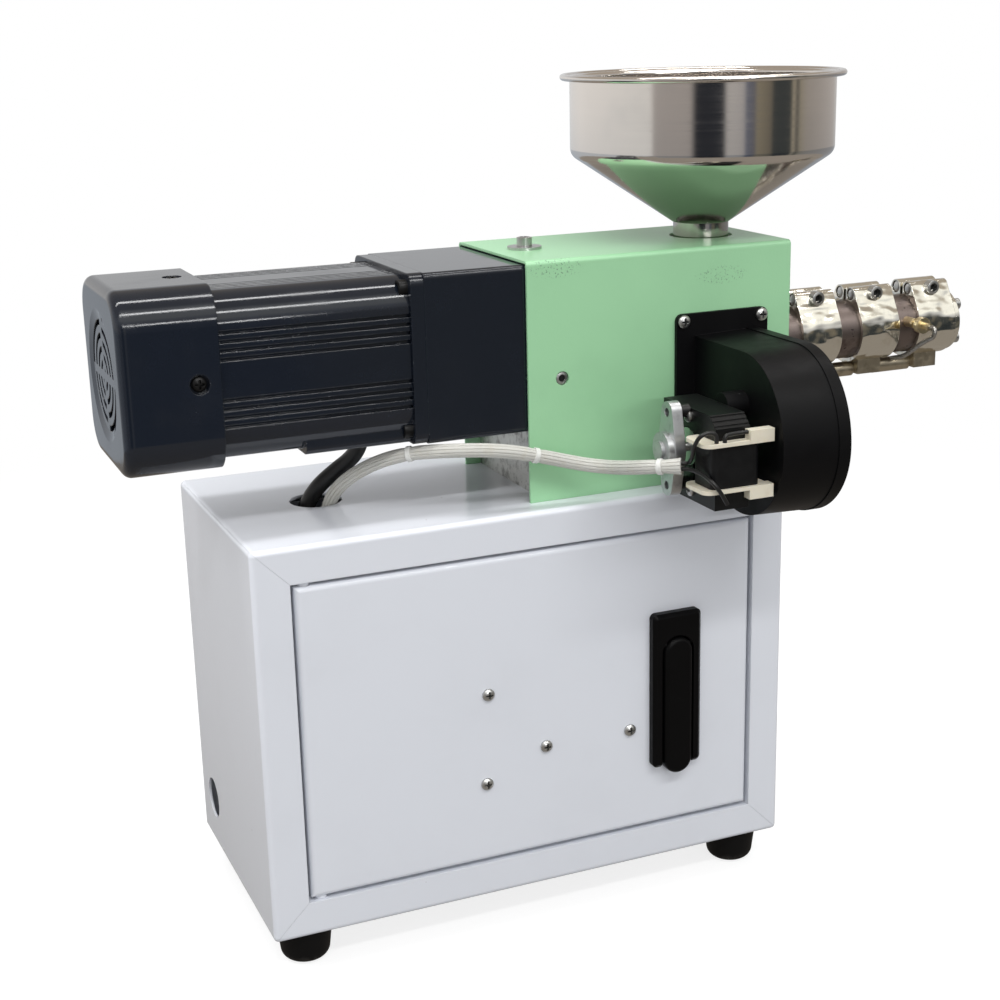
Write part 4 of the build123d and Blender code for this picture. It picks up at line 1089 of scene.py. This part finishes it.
# Tones of the room round the object, by the share of a full turn from straight behind the object
ROOM_TONES = (
    (0.00, (0.70, 0.71, 0.72)),
    (0.12, (0.86, 0.84, 0.82)),
    (0.362, (0.78, 0.76, 0.73)),
    (0.366, (0.40, 0.37, 0.35)),
    (0.455, (0.38, 0.35, 0.33)),
    (0.467, (0.020, 0.022, 0.028)),
    (0.532, (0.020, 0.022, 0.028)),
    (0.540, (0.46, 0.44, 0.42)),
    (0.580, (0.40, 0.38, 0.37)),
    (0.586, (0.13, 0.14, 0.18)),
    (0.606, (0.12, 0.12, 0.14)),
    (0.612, (0.24, 0.21, 0.15)),
    (0.648, (0.16, 0.14, 0.11)),
    (0.655, (0.045, 0.050, 0.050)),
    (0.706, (0.045, 0.050, 0.050)),
    (0.712, (0.42, 0.37, 0.28)),
    (0.725, (0.06, 0.06, 0.06)),
    (0.735, (0.30, 0.27, 0.21)),
    (0.76, (0.34, 0.31, 0.28)),
    (0.90, (0.46, 0.43, 0.41)),
    (1.00, (0.70, 0.71, 0.72)),
)


def make_world():
    """White to the camera, even light on the object, and a plain room in reflections."""
    world = bpy.data.worlds.new("world")
    scene.world = world
    world.use_nodes = True
    tree = world.node_tree
    tree.nodes.clear()
    output = tree.nodes.new("ShaderNodeOutputWorld")
    place = tree.nodes.new("ShaderNodeTexCoord")
    turn = tree.nodes.new("ShaderNodeMapping")
    turn.inputs["Rotation"].default_value = (0, 0, CAMERA_YAW + pi / 2)
    tree.links.new(place.outputs["Generated"], turn.inputs["Vector"])
    radial = tree.nodes.new("ShaderNodeTexGradient")
    radial.gradient_type = "RADIAL"
    tree.links.new(turn.outputs["Vector"], radial.inputs["Vector"])
    ramp = tree.nodes.new("ShaderNodeValToRGB")
    stops = ramp.color_ramp.elements
    for _ in range(len(ROOM_TONES) - len(stops)):
        stops.new(0.5)
    for stop, (share, tone) in zip(stops, ROOM_TONES):
        stop.position = share
        stop.color = (*tone, 1)
    tree.links.new(radial.outputs["Fac"], ramp.inputs["Fac"])
    split = tree.nodes.new("ShaderNodeSeparateXYZ")
    tree.links.new(place.outputs["Generated"], split.inputs["Vector"])
    depth, height = split.outputs["Y"], split.outputs["Z"]
    rise = smooth_range(tree, height, CEILING_START, CEILING_END)
    ceiling = mix(tree, rise, ramp.outputs["Color"], CEILING_TONE)
    ahead = smooth_range(tree, depth, FRONT_END, OVERHEAD_START)
    overhead = mix(tree, ahead, FRONT_TONE, OVERHEAD_TONE)
    climb = smooth_range(tree, height, HIGH_START, HIGH_END)
    high = mix(tree, climb, ceiling, overhead)
    sink = smooth_range(tree, height, BELOW_START, BELOW_END, 1.0, 0.0)
    below = mix(tree, sink, high, BELOW_TONE, blend_type="MULTIPLY")
    path = tree.nodes.new("ShaderNodeLightPath")
    fill = background(tree, WHITE, FILL_STRENGTH)
    lit = mix_shaders(tree, path.outputs["Is Glossy Ray"], fill, background(tree, below))
    seen = mix_shaders(tree, seen_straight(tree, path), lit, background(tree, WHITE))
    tree.links.new(seen, output.inputs["Surface"])


def hang_lamp(name, place, length, width, power):
    """A rectangular lamp that faces the machine."""
    lamp = bpy.data.lights.new(name, "AREA")
    lamp.shape = "RECTANGLE"
    lamp.size = length
    lamp.size_y = width
    lamp.energy = power
    holder = bpy.data.objects.new(name, lamp)
    aim = (Vector(LAMP_TARGET) - Vector(place)).to_track_quat("-Z", "Y")
    holder.matrix_world = Matrix.Translation(place) @ aim.to_matrix().to_4x4()
    scene.collection.objects.link(holder)
    return holder


def hang_lamps():
    """Strips along the machine, two on the ceiling and one far in front, and a soft lamp at its left."""
    for number, (row, height, power) in enumerate(STRIPS):
        hang_lamp(f"strip_{number}", (0, row, height), STRIP_LENGTH, STRIP_WIDTH, power)
    side = hang_lamp("side_lamp", SIDE_LAMP_PLACE, SIDE_LAMP_SIZE, SIDE_LAMP_SIZE, SIDE_LAMP_POWER)
    side.visible_glossy = False
    side.visible_camera = False


make_floor()
make_world()
hang_lamps()
